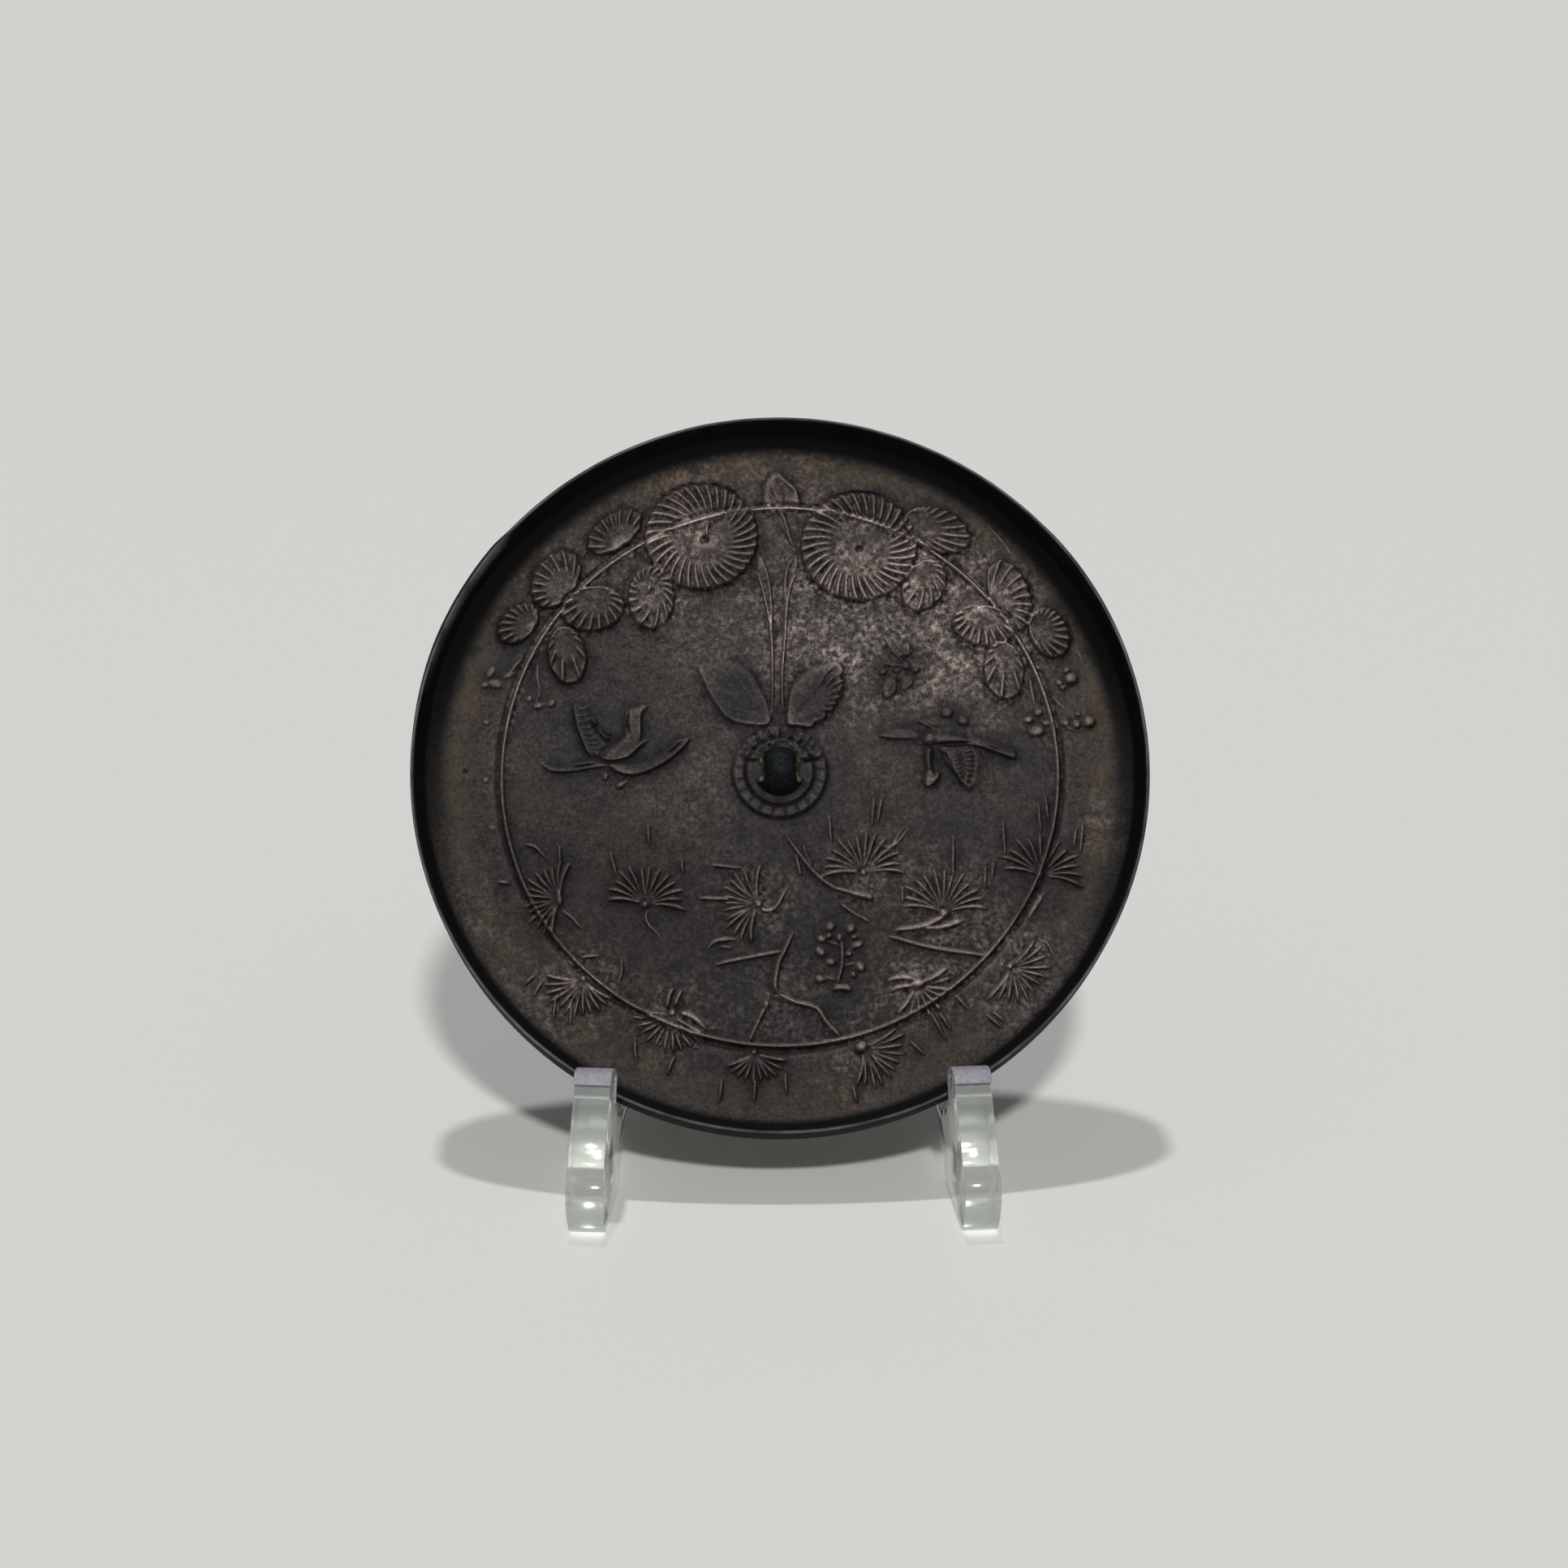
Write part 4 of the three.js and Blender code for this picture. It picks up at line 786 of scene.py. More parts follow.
# the mould was cut deeper on the outer side of the line, so that side falls away steeply
outside = 0.2 * np.exp(-((off - 0.62) / 0.34) ** 2) * (0.8 + 0.2 * np.sin(2 * angle + 4))
relief[where] = np.maximum(relief[where] - outside + 0.34 * line * strength, 0.62 * line * strength - outside)
tell("ring")

# %% [markdown]
# ### The seat of the knob
#
# The knob stands on a low round seat with a ring of petals. The upper half is rougher, where the metal was
# poured, and a step runs across it.

# %% The seat of the knob
where, x, y = around([(0, 0)], 8.0)
radius = np.hypot(x, y)
angle = np.arctan2(y, x)
beat = angle * 21 / (2 * np.pi) + 0.35 * radius / 6
k = np.abs(beat - np.round(beat)) * 2
petals = 0.3 * np.clip(1 - ((radius - 5.85) / 1.0) ** 4, 0, 1) * (1 - 0.7 * k ** 8)
petals *= 1 - 0.35 * ease((y + 1) / 6) * (0.5 + 0.5 * np.sin(9 * angle + 2))
step = 0.35 + 0.18 * ease((y - 1.6) / 0.3)
rough = soften(rng.normal(size=radius.shape).astype(np.float32), 0.2) * 16
seat = step * ease((4.95 - radius) / 0.25)
level = np.maximum(petals, seat) + 0.07 * rough * ease((y - 1.7) / 0.4)
relief[where] = np.where(radius < 6.85, level, relief[where])
relief[where] -= 0.12 * np.exp(-((radius - 6.95) / 0.15) ** 2) * ease((3 - y) / 4)
relief[where] -= 0.12 * np.exp(-((radius - 4.98) / 0.13) ** 2) * ease((3 - y) / 4)
groove([(-5.2, 1.9), (-4.2, 1.6), (-3.4, 1.7)], 0.5, 0.2, 0.1, 0.1)
groove([(3.3, 1.5), (4.6, 1.6), (6.4, 1.8)], 0.5, 0.25, 0.1, 0.1)
tell("seat")

# %% Soften the sheet
CASTING_BLUR = 0.075
cast = soften(relief, CASTING_BLUR)
print("highest relief, mm:", round(float(cast.max()), 2))

# %% [markdown]
# A casting is never flat. Slow waves come from the clay of the mould, and small hollows from gas and from
# burial. The wear mask finds what stands proud of its surroundings, because that is where hands and cloths
# rub through the patina; it also carries a painted highlight on slopes that face the upper left. The recess
# mask finds the hollows, which the finish darkens, partly for the dark corrosion that stays there and partly
# as painted shade. The slope shade sheet is painted shade on steep slopes, darkest on those that face the
# lower right.

# %% Unevenness, slopes and wear
grid_x, grid_y = AXIS[None, :], AXIS[:, None]
grid_r = np.hypot(grid_x, grid_y)
cast = cast + 0.018 * clouds(2.2, 21) + 0.03 * clouds(7.0, 22)
smooth_cast = soften(cast, 0.1)
slope_y, slope_x = np.gradient(smooth_cast, PITCH)
slope = np.hypot(slope_x, slope_y)
facing = -(slope_x * LOWER_RIGHT[0] + slope_y * LOWER_RIGHT[1]) / (slope + 0.05)
# Painted shade: steep slopes are darkened, most of all those that face the lower right, away from the light.
slope_shade_sheet = np.clip((slope - 0.1) / 0.45, 0, 1) * (0.4 + 0.6 * np.clip(facing + 0.3, 0, 1))
wear_and_highlight_sheet = np.clip((smooth_cast - soften(cast, 0.45)) / 0.1, 0, 1) * (1 - 0.85 * slope_shade_sheet)
# Painted highlight: slopes that face the upper left, towards the light, are lightened as if worn.
wear_and_highlight_sheet += 0.45 * np.clip((slope - 0.15) / 0.4, 0, 1) * np.clip(-facing, 0, 1)
recess_sheet = np.clip((soften(cast, 0.7) - smooth_cast) / 0.12, 0, 1)
print(f"steeper than 20 degrees: {100 * np.mean(slope > 0.36):.1f} % of the field")

# %% [markdown]
# Some places are calm: the seat, the leaves, the birds and the butterfly kept their dark skin. Others were
# handled often and are rubbed. Both are soft round spots, and the line of the ring is rubbed in its upper
# part.

# %% Calm and rubbed places
calm_sheet = np.exp(-(grid_r / 7.4) ** 8)
# x, y and size of each calm spot
kept = [(-6, 11.6, 5.4), (5.4, 11.2, 5.2), (-27, 6, 6), (-17, 2, 5), (-30, 0.5, 4), (17, 15, 4.5),
        (18, 5.5, 5), (25, 2, 5.5), (25, 8, 3.5), (31, 3, 3.5)]
for x0, y0, size in kept:
    calm_sheet = np.maximum(calm_sheet, np.exp(-(((grid_x - x0) ** 2 + (grid_y - y0) ** 2) / size ** 2) ** 2))
wear_and_highlight_sheet = np.clip(wear_and_highlight_sheet, 0, 1) * (1 - 0.72 * calm_sheet)
rub_sheet = np.zeros_like(cast)
# x, y, size and strength of each rubbed spot
rubbed = [(17, 20, 8, 0.9), (8, 25, 6, 0.6), (30, 23, 6, 0.7), (-14.5, 34, 4, 1.0), (5, 17, 6, 0.5),
          (-18.5, 25.5, 3, 0.7), (24, 28, 5, 0.7), (45.5, -8, 3, 0.4), (0, 46.5, 7, 0.35), (-16, 44, 6, 0.3),
          (-12, -3, 5, 0.3), (14, 31, 6, 0.4), (-31, 29, 5, 0.4), (26, 11, 7, 0.4), (-6, 20, 7, 0.35),
          (-45, -22, 4, 0.3), (38, -33, 6, 0.3), (-38, -36, 5, 0.35), (19, -31, 4, 0.6), (23, -19, 5, 0.45),
          (12, -14, 4, 0.35), (32, -28, 5, 0.4), (11, -41, 4, 0.4), (-3, -19, 4, 0.45), (0, -33, 4, 0.4),
          (-28, -31, 4, 0.5), (-15, -36, 4, 0.5)]
for x0, y0, size, amount in rubbed:
    rub_sheet += amount * np.exp(-((grid_x - x0) ** 2 + (grid_y - y0) ** 2) / (2 * size ** 2))
rub_sheet += 0.9 * np.exp(-((grid_r - RING_RADIUS) / 0.7) ** 4) * ease((grid_y + 12) / 30)
rub_sheet = np.clip(rub_sheet, 0, 1) * (1 - 0.8 * calm_sheet)
print("calm spots:", len(kept), "rubbed spots:", len(rubbed))

# %% Read a sheet at any place
def read_sheet(sheet, x, y):
    """The sheet's value at any place, blended between its four nearest numbers."""
    fx = np.clip((x + SPAN) / PITCH, 0, COUNT - 1.001)
    fy = np.clip((y + SPAN) / PITCH, 0, COUNT - 1.001)
    ix, iy = fx.astype(int), fy.astype(int)
    tx, ty = fx - ix, fy - iy
    low = sheet[iy, ix] * (1 - tx) + sheet[iy, ix + 1] * tx
    high = sheet[iy + 1, ix] * (1 - tx) + sheet[iy + 1, ix + 1] * tx
    return low * (1 - ty) + high * ty


print("height in the middle of the seat, mm:", round(float(read_sheet(cast, np.zeros(1), np.zeros(1))[0]), 2))

# %% [markdown]
# ## The body of the mirror
#
# A round sheet of small even squares is made by folding a square grid into a disc, so there is no crowded
# middle as in a fan of triangles. Rings carry on from its edge: up the inner wall, over the lip, down the
# outer wall and in across the polished face, where each ring has half the points of the one before. Then a
# Decimate modifier takes triangles away where the surface is plain and keeps them in the relief.

# %% Sizes and the folded grid
FIELD_DEPTH = 4.0
WALL_FOOT = 50.6
FILLET_START = 48.6
FILLET_RISE = 0.8
WALL_RUN = 1.28  # how far the inner wall slopes out on its way up to the lip
FACE_CROWN = 0.4
FEWEST_POINTS = 60  # in a ring of the polished face
GRID = 881
TRIANGLES = 178000


def fold_to_disc(count):
    """The x and y of a square grid of places, folded into a disc of radius 1."""
    side = np.linspace(-1, 1, count)
    a, b = np.meshgrid(side, side, indexing="ij")
    wide = np.abs(a) >= np.abs(b)
    long = np.where(wide, a, b)
    short = np.where(wide, b, a)
    turn = np.pi / 4 * short / np.where(long == 0, 1, long)
    angle = np.where(wide, turn, np.pi / 2 - turn)
    return long * np.cos(angle), long * np.sin(angle)


print("points across the field:", GRID)

# %% [markdown]
# The rim was cast by hand and has had a long life. It isn't quite round, and the lip is a little wavy. A few
# slow sines of the angle are enough for that, because the eye only asks that no two stretches look alike.

# %% The rim's unevenness
def swelling(angle):
    """The rim isn't quite round: it bulges a little at the upper left, where it was once bent."""
    degrees = np.degrees(angle) % 360
    left = ease((degrees - 137) / 5) * ease((178 - degrees) / 22)
    right = ease((degrees - 14) / 20) * ease((44 - degrees) / 5)
    return 0.3 * left + 0.1 * right + 0.04 * np.sin(3 * angle + 1)


def ripple(angle):
    """The small unevenness of a lip finished by hand, with a spread of 1."""
    chance = np.random.default_rng(5)
    waves = []
    for n in (7, 12, 19, 31, 43, 58):
        waves.append(np.sin(n * angle + chance.uniform(0, 7)) * chance.uniform(0.5, 1))
    return sum(waves) / 1.3


every_degree = np.radians(np.arange(360))
print("the rim swells by up to", round(float(swelling(every_degree).max()), 2), "mm")

# %% [markdown]
# The field's grid and the rings round it are sewn into one closed skin. Each ring is a radius and a height,
# so the list of rings is the profile of the rim as a founder would draw it.

# %% One closed skin
def body_mesh():
    """The points and triangles of the whole body but the knob, lying flat with the lip at z = 0."""
    unit_x, unit_y = fold_to_disc(GRID)
    unit_r = np.hypot(unit_x, unit_y)
    angle = np.arctan2(unit_y, unit_x)
    radius = unit_r * (WALL_FOOT + swelling(angle) * ease((unit_r - 0.9) / 0.1))
    x, y = radius * np.cos(angle), radius * np.sin(angle)
    hollow = np.clip((radius - FILLET_START) / (WALL_FOOT - FILLET_START), 0, 1)
    z = -FIELD_DEPTH + read_sheet(cast, x, y) + FILLET_RISE * hollow ** 2
    points = [np.stack([x, y, z], -1).reshape(-1, 3)]

    index = np.arange(GRID * GRID).reshape(GRID, GRID)
    a, b = index[:-1, :-1].ravel(), index[1:, :-1].ravel()
    c, d = index[1:, 1:].ravel(), index[:-1, 1:].ravel()
    triangles = [np.stack([a, b, c], 1), np.stack([a, c, d], 1)]

    edge = np.concatenate([index[-1, :-1], index[::-1, -1][:-1], index[0, ::-1][:-1], index[:-1, 0]])
    previous, ring_angle = edge, angle.ravel()[edge]
    start = GRID * GRID

    def ring(r, q, halve=False, spread=1.0):
        """One more ring outside the last, sewn to it; a halved ring takes every second of its points.

        Its radius is r, and q is its height from the lip.
        """
        nonlocal start, previous, ring_angle
        if halve:
            ring_angle = ring_angle[::2]
        reach = r + swelling(ring_angle) * spread
        height = q + 0.02 * ripple(ring_angle) * (-0.3 < q < 0.3)
        points.append(np.stack([reach * np.cos(ring_angle), reach * np.sin(ring_angle), height], -1))
        current = np.arange(start, start + len(ring_angle))
        start += len(ring_angle)
        after = np.roll(current, -1)
        if halve:
            outer = previous.reshape(-1, 2)
            following = np.roll(previous, -2)[::2]
            triangles.append(np.stack([outer[:, 0], current, outer[:, 1]], 1))
            triangles.append(np.stack([outer[:, 1], current, after], 1))
            triangles.append(np.stack([outer[:, 1], after, following], 1))
        else:
            triangles.append(np.stack([previous, current, after], 1))
            triangles.append(np.stack([previous, after, np.roll(previous, -1)], 1))
        previous = current

    foot_q = -FIELD_DEPTH + FILLET_RISE
    for t in (0.04, 0.1, 0.18, 0.3, 0.45, 0.6, 0.75, 0.9, 1.0):
        ring(WALL_FOOT + WALL_RUN * t ** 0.9, foot_q + (-0.06 - foot_q) * t, halve=t < 0.2)
    lip = [(51.93, -0.02), (52.0, 0.0), (52.15, 0.01), (52.3, -0.01), (52.4, -0.06), (52.46, -0.14),
           (RADIUS, -0.25)]
    for r, q in lip:
        ring(r, q)
    for q in (-0.5, -1.5, -3.0, -4.5, -5.2, -5.4):
        ring(RADIUS, q)
    face_edge = [(52.46, -5.55), (52.38, -5.68), (52.26, -5.77), (52.1, -RIM_HEIGHT),
                 (51.4, -RIM_HEIGHT - 0.02)]
    for r, q in face_edge:
        ring(r, q)
    for share in np.arange(0.95, 0.05, -0.07):
        crown = FACE_CROWN * (1 - share ** 2)
        ring(RADIUS * share, -RIM_HEIGHT - crown, halve=len(previous) > FEWEST_POINTS, spread=share)
    points.append(np.array([[0, 0, -RIM_HEIGHT - FACE_CROWN]]))
    triangles.append(np.stack([previous, np.full(len(previous), start), np.roll(previous, -1)], 1))
    return np.concatenate(points), np.concatenate(triangles)


body_points, body_triangles = body_mesh()
print("points:", len(body_points), "triangles:", len(body_triangles))

# %% Meshes and modifiers
def mesh_object(name, points, triangles):
    """An object made of these points and triangles."""
    mesh = bpy.data.meshes.new(name)
    mesh.vertices.add(len(points))
    mesh.vertices.foreach_set("co", np.ascontiguousarray(points, np.float32).ravel())
    mesh.loops.add(len(triangles) * 3)
    mesh.loops.foreach_set("vertex_index", np.ascontiguousarray(triangles, np.int32).ravel())
    mesh.polygons.add(len(triangles))
    mesh.polygons.foreach_set("loop_start", np.arange(0, len(triangles) * 3, 3, dtype=np.int32))
    mesh.update(calc_edges=True)
    mesh.validate()
    made = bpy.data.objects.new(name, mesh)
    scene.collection.objects.link(made)
    return made


def apply_modifiers(piece):
    """Replaces the mesh by what its modifiers make of it."""
    bpy.context.view_layer.update()
    graph = bpy.context.evaluated_depsgraph_get()
    done = bpy.data.meshes.new_from_object(piece.evaluated_get(graph))
    old = piece.data
    piece.modifiers.clear()
    piece.data = done
    bpy.data.meshes.remove(old)


# %% [markdown]
# So many triangles are needed only where there is relief. The rings keep all of theirs, since a thinned
# round edge shows corners at once, so only the points of the field's grid may be thinned.

# %% Thin out the plain places
mirror = mesh_object("mirror_casting", body_points, body_triangles)
dense = len(mirror.data.polygons)
thin_out = mirror.modifiers.new("thin out", "DECIMATE")
thin_out.ratio = TRIANGLES / dense
free = mirror.vertex_groups.new(name="may be thinned")
free.add(list(range(GRID * GRID)), 1.0, "REPLACE")
thin_out.vertex_group = free.name
thin_out.vertex_group_factor = 0.0
apply_modifiers(mirror)
print("triangles:", dense, "->", len(mirror.data.polygons))

# %% [markdown]
# ## The knob
#
# The knob is a small dome with a hole across it for a silk cord. The cord has worn the mouths of the hole
# wide and bright, and the finish paints glints on them. A lathe profile makes the dome and a second one,
# narrow in its middle, makes the cutter for the hole. The manifold solver of the Boolean modifier joins them
# to the body and leaves no faces inside.

# %% Functions for turned and joined solids
def lathe(name, profile, segments, wobble=0.0):
    """A closed turned solid about z. The profile runs from the axis at the bottom to the axis at the top."""
    turns = np.arange(segments) / segments * 2 * np.pi
    points = [[0, 0, profile[0][1]]]
    for r, z in profile[1:-1]:
        uneven = 1 + wobble * np.sin(3 * turns + z) + wobble * 0.6 * np.sin(5 * turns + 2)
        points += [[r * u * np.cos(t), r * u * np.sin(t), z] for t, u in zip(turns, uneven)]
    points.append([0, 0, profile[-1][1]])
    triangles = []
    for i in range(segments):
        j = (i + 1) % segments
        triangles.append([0, 1 + j, 1 + i])
        for level in range(len(profile) - 3):
            low, high = 1 + level * segments, 1 + (level + 1) * segments
            triangles += [[low + i, low + j, high + j], [low + i, high + j, high + i]]
        top = 1 + (len(profile) - 3) * segments
        triangles.append([top + i, top + j, len(points) - 1])
    return mesh_object(name, np.array(points), np.array(triangles))


def combine(piece, other, operation):
    """Joins another solid to the piece or cuts it out, and removes it from the scene."""
    tool = piece.modifiers.new(operation, "BOOLEAN")
    tool.operation = operation
    tool.solver = "MANIFOLD"
    tool.object = other
    apply_modifiers(piece)
    bpy.data.objects.remove(other)


print("a turned solid of 4 rings and 8 sides has", 8 * (2 + 3 * 2), "triangles")

# %% Build the knob and join it
SEAT_TOP = -FIELD_DEPTH + 0.35
KNOB_RADIUS = 3.55
KNOB_HEIGHT = 3.5
KNOB_ROOT = 0.7  # how far the knob reaches down into the body, so that the two join well
HOLE_RADIUS = 1.1
HOLE_HEIGHT = 1.72  # middle of the cord hole above the seat
HOLE_SHIFT = 0.3  # and how far it lies above the middle of the knob
dome_profile = [(0, SEAT_TOP - KNOB_ROOT), (KNOB_RADIUS + 0.12, SEAT_TOP - KNOB_ROOT),
                (KNOB_RADIUS + 0.12, SEAT_TOP - 0.1), (KNOB_RADIUS + 0.02, SEAT_TOP + 0.08)]
for t in np.linspace(0.06, 0.97, 22):
    quarter = t * np.pi / 2
    dome_profile.append((KNOB_RADIUS * np.cos(quarter) ** 0.92, SEAT_TOP + KNOB_HEIGHT * np.sin(quarter)))
dome_profile.append((0, SEAT_TOP + KNOB_HEIGHT))
knob = lathe("knob", dome_profile, 96, 0.006)

mouth_profile = [(0, -5.0), (2.6, -5.0)]
for x in np.linspace(-4.2, 4.2, 29):
    mouth_profile.append((HOLE_RADIUS + 1.35 * ease((abs(x) - 1.3) / 2.4) ** 1.1, x))
mouth_profile += [(2.6, 5.0), (0, 5.0)]
cord_hole = lathe("cord_hole", mouth_profile, 48, 0.02)
across_knob = Matrix.Translation((0, HOLE_SHIFT, SEAT_TOP + HOLE_HEIGHT))
cord_hole.data.transform(across_knob @ Matrix.Rotation(np.pi / 2, 4, "Y"))
combine(knob, cord_hole, "DIFFERENCE")
combine(mirror, knob, "UNION")
print("with its knob:", len(mirror.data.polygons))

# %% [markdown]
# ### Masks for the finish
#
# Every point of the mesh gets a few numbers between 0 and 1 that say what it is: worn or given a painted
# highlight, dark with corrosion or painted shade, part of the wall or of the rim's painted shadow, of the lip
# or of the knob. The finish reads them. They are worked out while the mirror still lies flat, where its own x
# and y are easy to read. Then the mirror is leaned back into its place.

# %% Masks, then into place
def fetch_points(piece):
    """All points of a mesh, one row of x, y and z for each."""
    flat = np.empty(len(piece.data.vertices) * 3, np.float32)
    piece.data.vertices.foreach_get("co", flat)
    return flat.reshape(-1, 3)


FIELD_EDGE = 51.0
OUTER_WALL = 52.4
LIP_LINE = 52.28
x, y, z = fetch_points(mirror).T
out = np.hypot(x, y)
on_front = (z > -FIELD_DEPTH - 0.6) & (out < FIELD_EDGE)
above_seat = z + FIELD_DEPTH - read_sheet(cast, x, y)
knob_part = np.clip((above_seat - 0.06) / 0.1, 0, 1) * (out < 4.2)
on_field = on_front * (1 - knob_part)
rub = read_sheet(rub_sheet, x, y) * on_front
wear_and_highlight = read_sheet(wear_and_highlight_sheet, x, y) * on_field
recess = read_sheet(recess_sheet, x, y) * on_field
# steep: the painted shade on steep slopes, read at each point
steep = read_sheet(slope_shade_sheet, x, y) * on_field
# Painted shadow of the rim: at the top the dark of the wall reaches on into the field, where the rim's shadow
# falls.
upper = ease((y / np.maximum(out, 1) + 0.75) / 1.2)
wall = np.maximum(ease((out - 49.7) / 1.2), ease((out - 47.2) / 2.1) * upper)
from_hole = np.hypot(y - HOLE_SHIFT, z - SEAT_TOP - HOLE_HEIGHT)
mouth = ease((np.abs(x) - 2.2) / 0.6) * ease((2.2 - from_hole) / 0.3) * knob_part
masks = {
    "handled": np.clip(0.9 * rub + 0.05, 0, 1),
    # wear on what stands proud, and a painted highlight on slopes that face the upper left
    "worn_and_lit": wear_and_highlight * np.clip(0.7 * rub + 0.33, 0, 1),
    # hollows darkened partly for corrosion and partly as painted shade, and painted shade on steep slopes
    "corrosion_and_painted_shade": np.maximum(0.9 * recess, 0.85 * steep),
    "calm": read_sheet(calm_sheet, x, y) * on_front,
    # darker towards the lower left of the field
    "darker_lower_left": ease((2 - y - 0.1 * x) / 24) * np.clip((FIELD_EDGE - out) / 10, 0, 1) * on_front,
    "fringe": np.exp(-((out - 46.4) / 1.9) ** 2) * on_front,
    # the wall's near-black patina all round, and the painted shadow of the rim at the top of the field
    "wall": wall * (z > -RIM_HEIGHT + 0.05) * (1 - 0.3 * (out > OUTER_WALL)),
    # bare metal along the lip, painted lighter as a highlight line
    "lip_wear_and_highlight": np.exp(-((out - LIP_LINE) / 0.14) ** 2) * (z > -0.15),
    # worn metal at the mouths of the cord hole, with painted glints, more on their lower side
    "mouth": mouth * (0.45 + 0.55 * ease((0.9 - y + 0.3 * x) / 1.6)),
    "face": (z < -RIM_HEIGHT + 0.12).astype(float),
    "knob_part": knob_part,
}
for name, values in masks.items():
    layer = mirror.data.attributes.new(name, "FLOAT", "POINT")
    layer.data.foreach_set("value", np.ascontiguousarray(values, np.float32))
    print(f"{name}: {100 * np.mean(values):.1f} % of the points")

lean_back = Matrix.Rotation(np.pi / 2 - LEAN, 4, "X")
mirror.data.transform(Matrix.Translation(lip_middle) @ lean_back @ Matrix.Scale(MM, 4))
mirror.data.shade_smooth()

# %% [markdown]
# ## Bronze with an old patina
#
# The metal is high-tin bronze, cast and left as cast on this side. Centuries in the ground gave it a thin
# matte brown-black skin. It shows dull and mottled, paler and a little pink where the skin is rubbed thin,
# near black in the corners and on the steep wall. Light and shade are painted into it too: shade on steep
# slopes and in the hollows, a highlight on slopes that face the upper left and along the lip, glints at the
# cord hole, and the shadow of the rim across the top of the field. The polished face once was silver-white
# and is now a tarnished brown mirror. One shader covers both, because it is one casting; the masks say where
# each look belongs.
#
# All of its chance comes from a few noises. Each has the size of something real: the slow drift of colour
# across the casting, clouds, blotches, crumbs of corrosion, grit and the finest grain.

# %% The masks and the noises as nodes
bronze = new_material("patinated_bronze")
mask = {}
for name in masks:
    mask[name] = add(bronze, "ShaderNodeAttribute", output="Fac", attribute_name=name)

object_place = add(bronze, "ShaderNodeTexCoord", output="Object")
# how large its features are in millimetres, detail, roughness and distortion
grains = {
    "drift": (26.0, 2.0, 0.5, 0.0),
    "cloudy": (8.0, 5.0, 0.62, 0.0),
    "tarnish": (9.0, 6.0, 0.6, 0.8),
    "smear": (4.0, 5.0, 0.65, 0.6),
    "blotch": (2.2, 5.0, 0.65, 0.4),
    "crumbs": (0.75, 5.0, 0.7, 0.0),
    "grit": (0.5, 4.0, 0.72, 0.0),
    "fine": (0.22, 3.0, 0.7, 0.0),
}
noise = {}
for name, (size, detail, coarse, distortion) in grains.items():
    noise[name] = add(bronze, "ShaderNodeTexNoise", {
        "Vector": object_place, "Scale": 1 / (size * MM), "Detail": detail, "Roughness": coarse,
        "Distortion": distortion,
    })
print("masks:", len(mask), "noises:", len(noise))

# %% [markdown]
# ### Where bare metal and painted highlights show
#
# Handling rubs the skin through in two ways: as flecks that crowd where hands go, and along everything that
# stands proud. The edges share also holds the painted highlight on slopes that face the upper left. The lip
# and the mouths of the cord hole are bare too; the lip carries a painted highlight line and the mouths
# painted glints. Each of these is a share from 0 to 1, made of a mask times what one or two noises let
# through.

# %% Bare metal
bare_spots = {
    "flecks": ("handled", [("crumbs", [(0.42, 0.0), (0.7, 0.8)]), ("blotch", [(0.38, 0.15), (0.62, 1.0)])]),
    # proud edges, and the painted highlight on slopes that face the upper left
    "edges": ("worn_and_lit", [("grit", [(0.32, 0.3), (0.66, 1.0)])]),
    "lip": ("lip_wear_and_highlight", [("cloudy", [(0.35, 0.25), (0.65, 1.0)])]),
    "mouths": ("mouth", [("crumbs", [(0.4, 0.2), (0.6, 1.0)])]),
}
shows = {}
for name, (place, sieves) in bare_spots.items():
    shows[name] = mask[place]
    for grain, stops in sieves:
        let_through = add(bronze, "ShaderNodeValToRGB", {0: noise[grain]}, stops=stops)
        shows[name] = add(bronze, "ShaderNodeMath", {0: shows[name], 1: let_through}, operation="MULTIPLY")
# rubbed: bare metal from handling and on proud edges, together with the painted highlight on slopes that face
# the upper left
rubbed = add(bronze, "ShaderNodeMath", {0: shows["flecks"], 1: shows["edges"]}, operation="MAXIMUM")
bare = rubbed
for share in (shows["lip"], shows["mouths"], mask["face"]):
    bare = add(bronze, "ShaderNodeMath", {0: bare, 1: share}, operation="MAXIMUM")

# %% [markdown]
# ### The colour of the skin
#
# The colour is built like the real skin, one thin layer over another, and painted shade and light are laid in
# among the layers. Each layer has a colour and a share: a noise, a mask, or both together. The later layers
# are those that lie on top.

# %% Layers of patina
skin = add(bronze, "ShaderNodeValToRGB", {0: noise["cloudy"]},
           stops=[(0.32, "#212122"), (0.5, "#272625"), (0.7, "#2F2A27")])
mottling = [
    # noise, how much of it shows, mask, colour
    ("blotch", [(0.4, 0.0), (0.7, 0.6)], None, "#373230"),
    ("grit", [(0.45, 0.0), (0.7, 0.75)], None, "#4C4441"),
    ("grit", [(0.28, 0.7), (0.46, 0.0)], None, "#131214"),
    ("drift", [(0.4, 0.5), (0.52, 0.0)], None, "#212224"),
    ("drift", [(0.5, 0.0), (0.62, 0.3)], None, "#3A322E"),
    ("blotch", [(0.35, 0.25), (0.65, 0.8)], "fringe", "#40372B"),
    ("blotch", [(0.0, 0.5), (1.0, 0.5)], "calm", "#1E2022"),
    # darker towards the lower left of the field
    ("blotch", [(0.0, 0.6), (1.0, 0.6)], "darker_lower_left", "#131416"),
]
layers = []
for grain, stops, place, tone in mottling:
    share = add(bronze, "ShaderNodeValToRGB", {0: noise[grain]}, stops=stops)
    if place:
        share = add(bronze, "ShaderNodeMath", {0: share, 1: mask[place]}, operation="MULTIPLY")
    layers.append((share, colour(tone)))

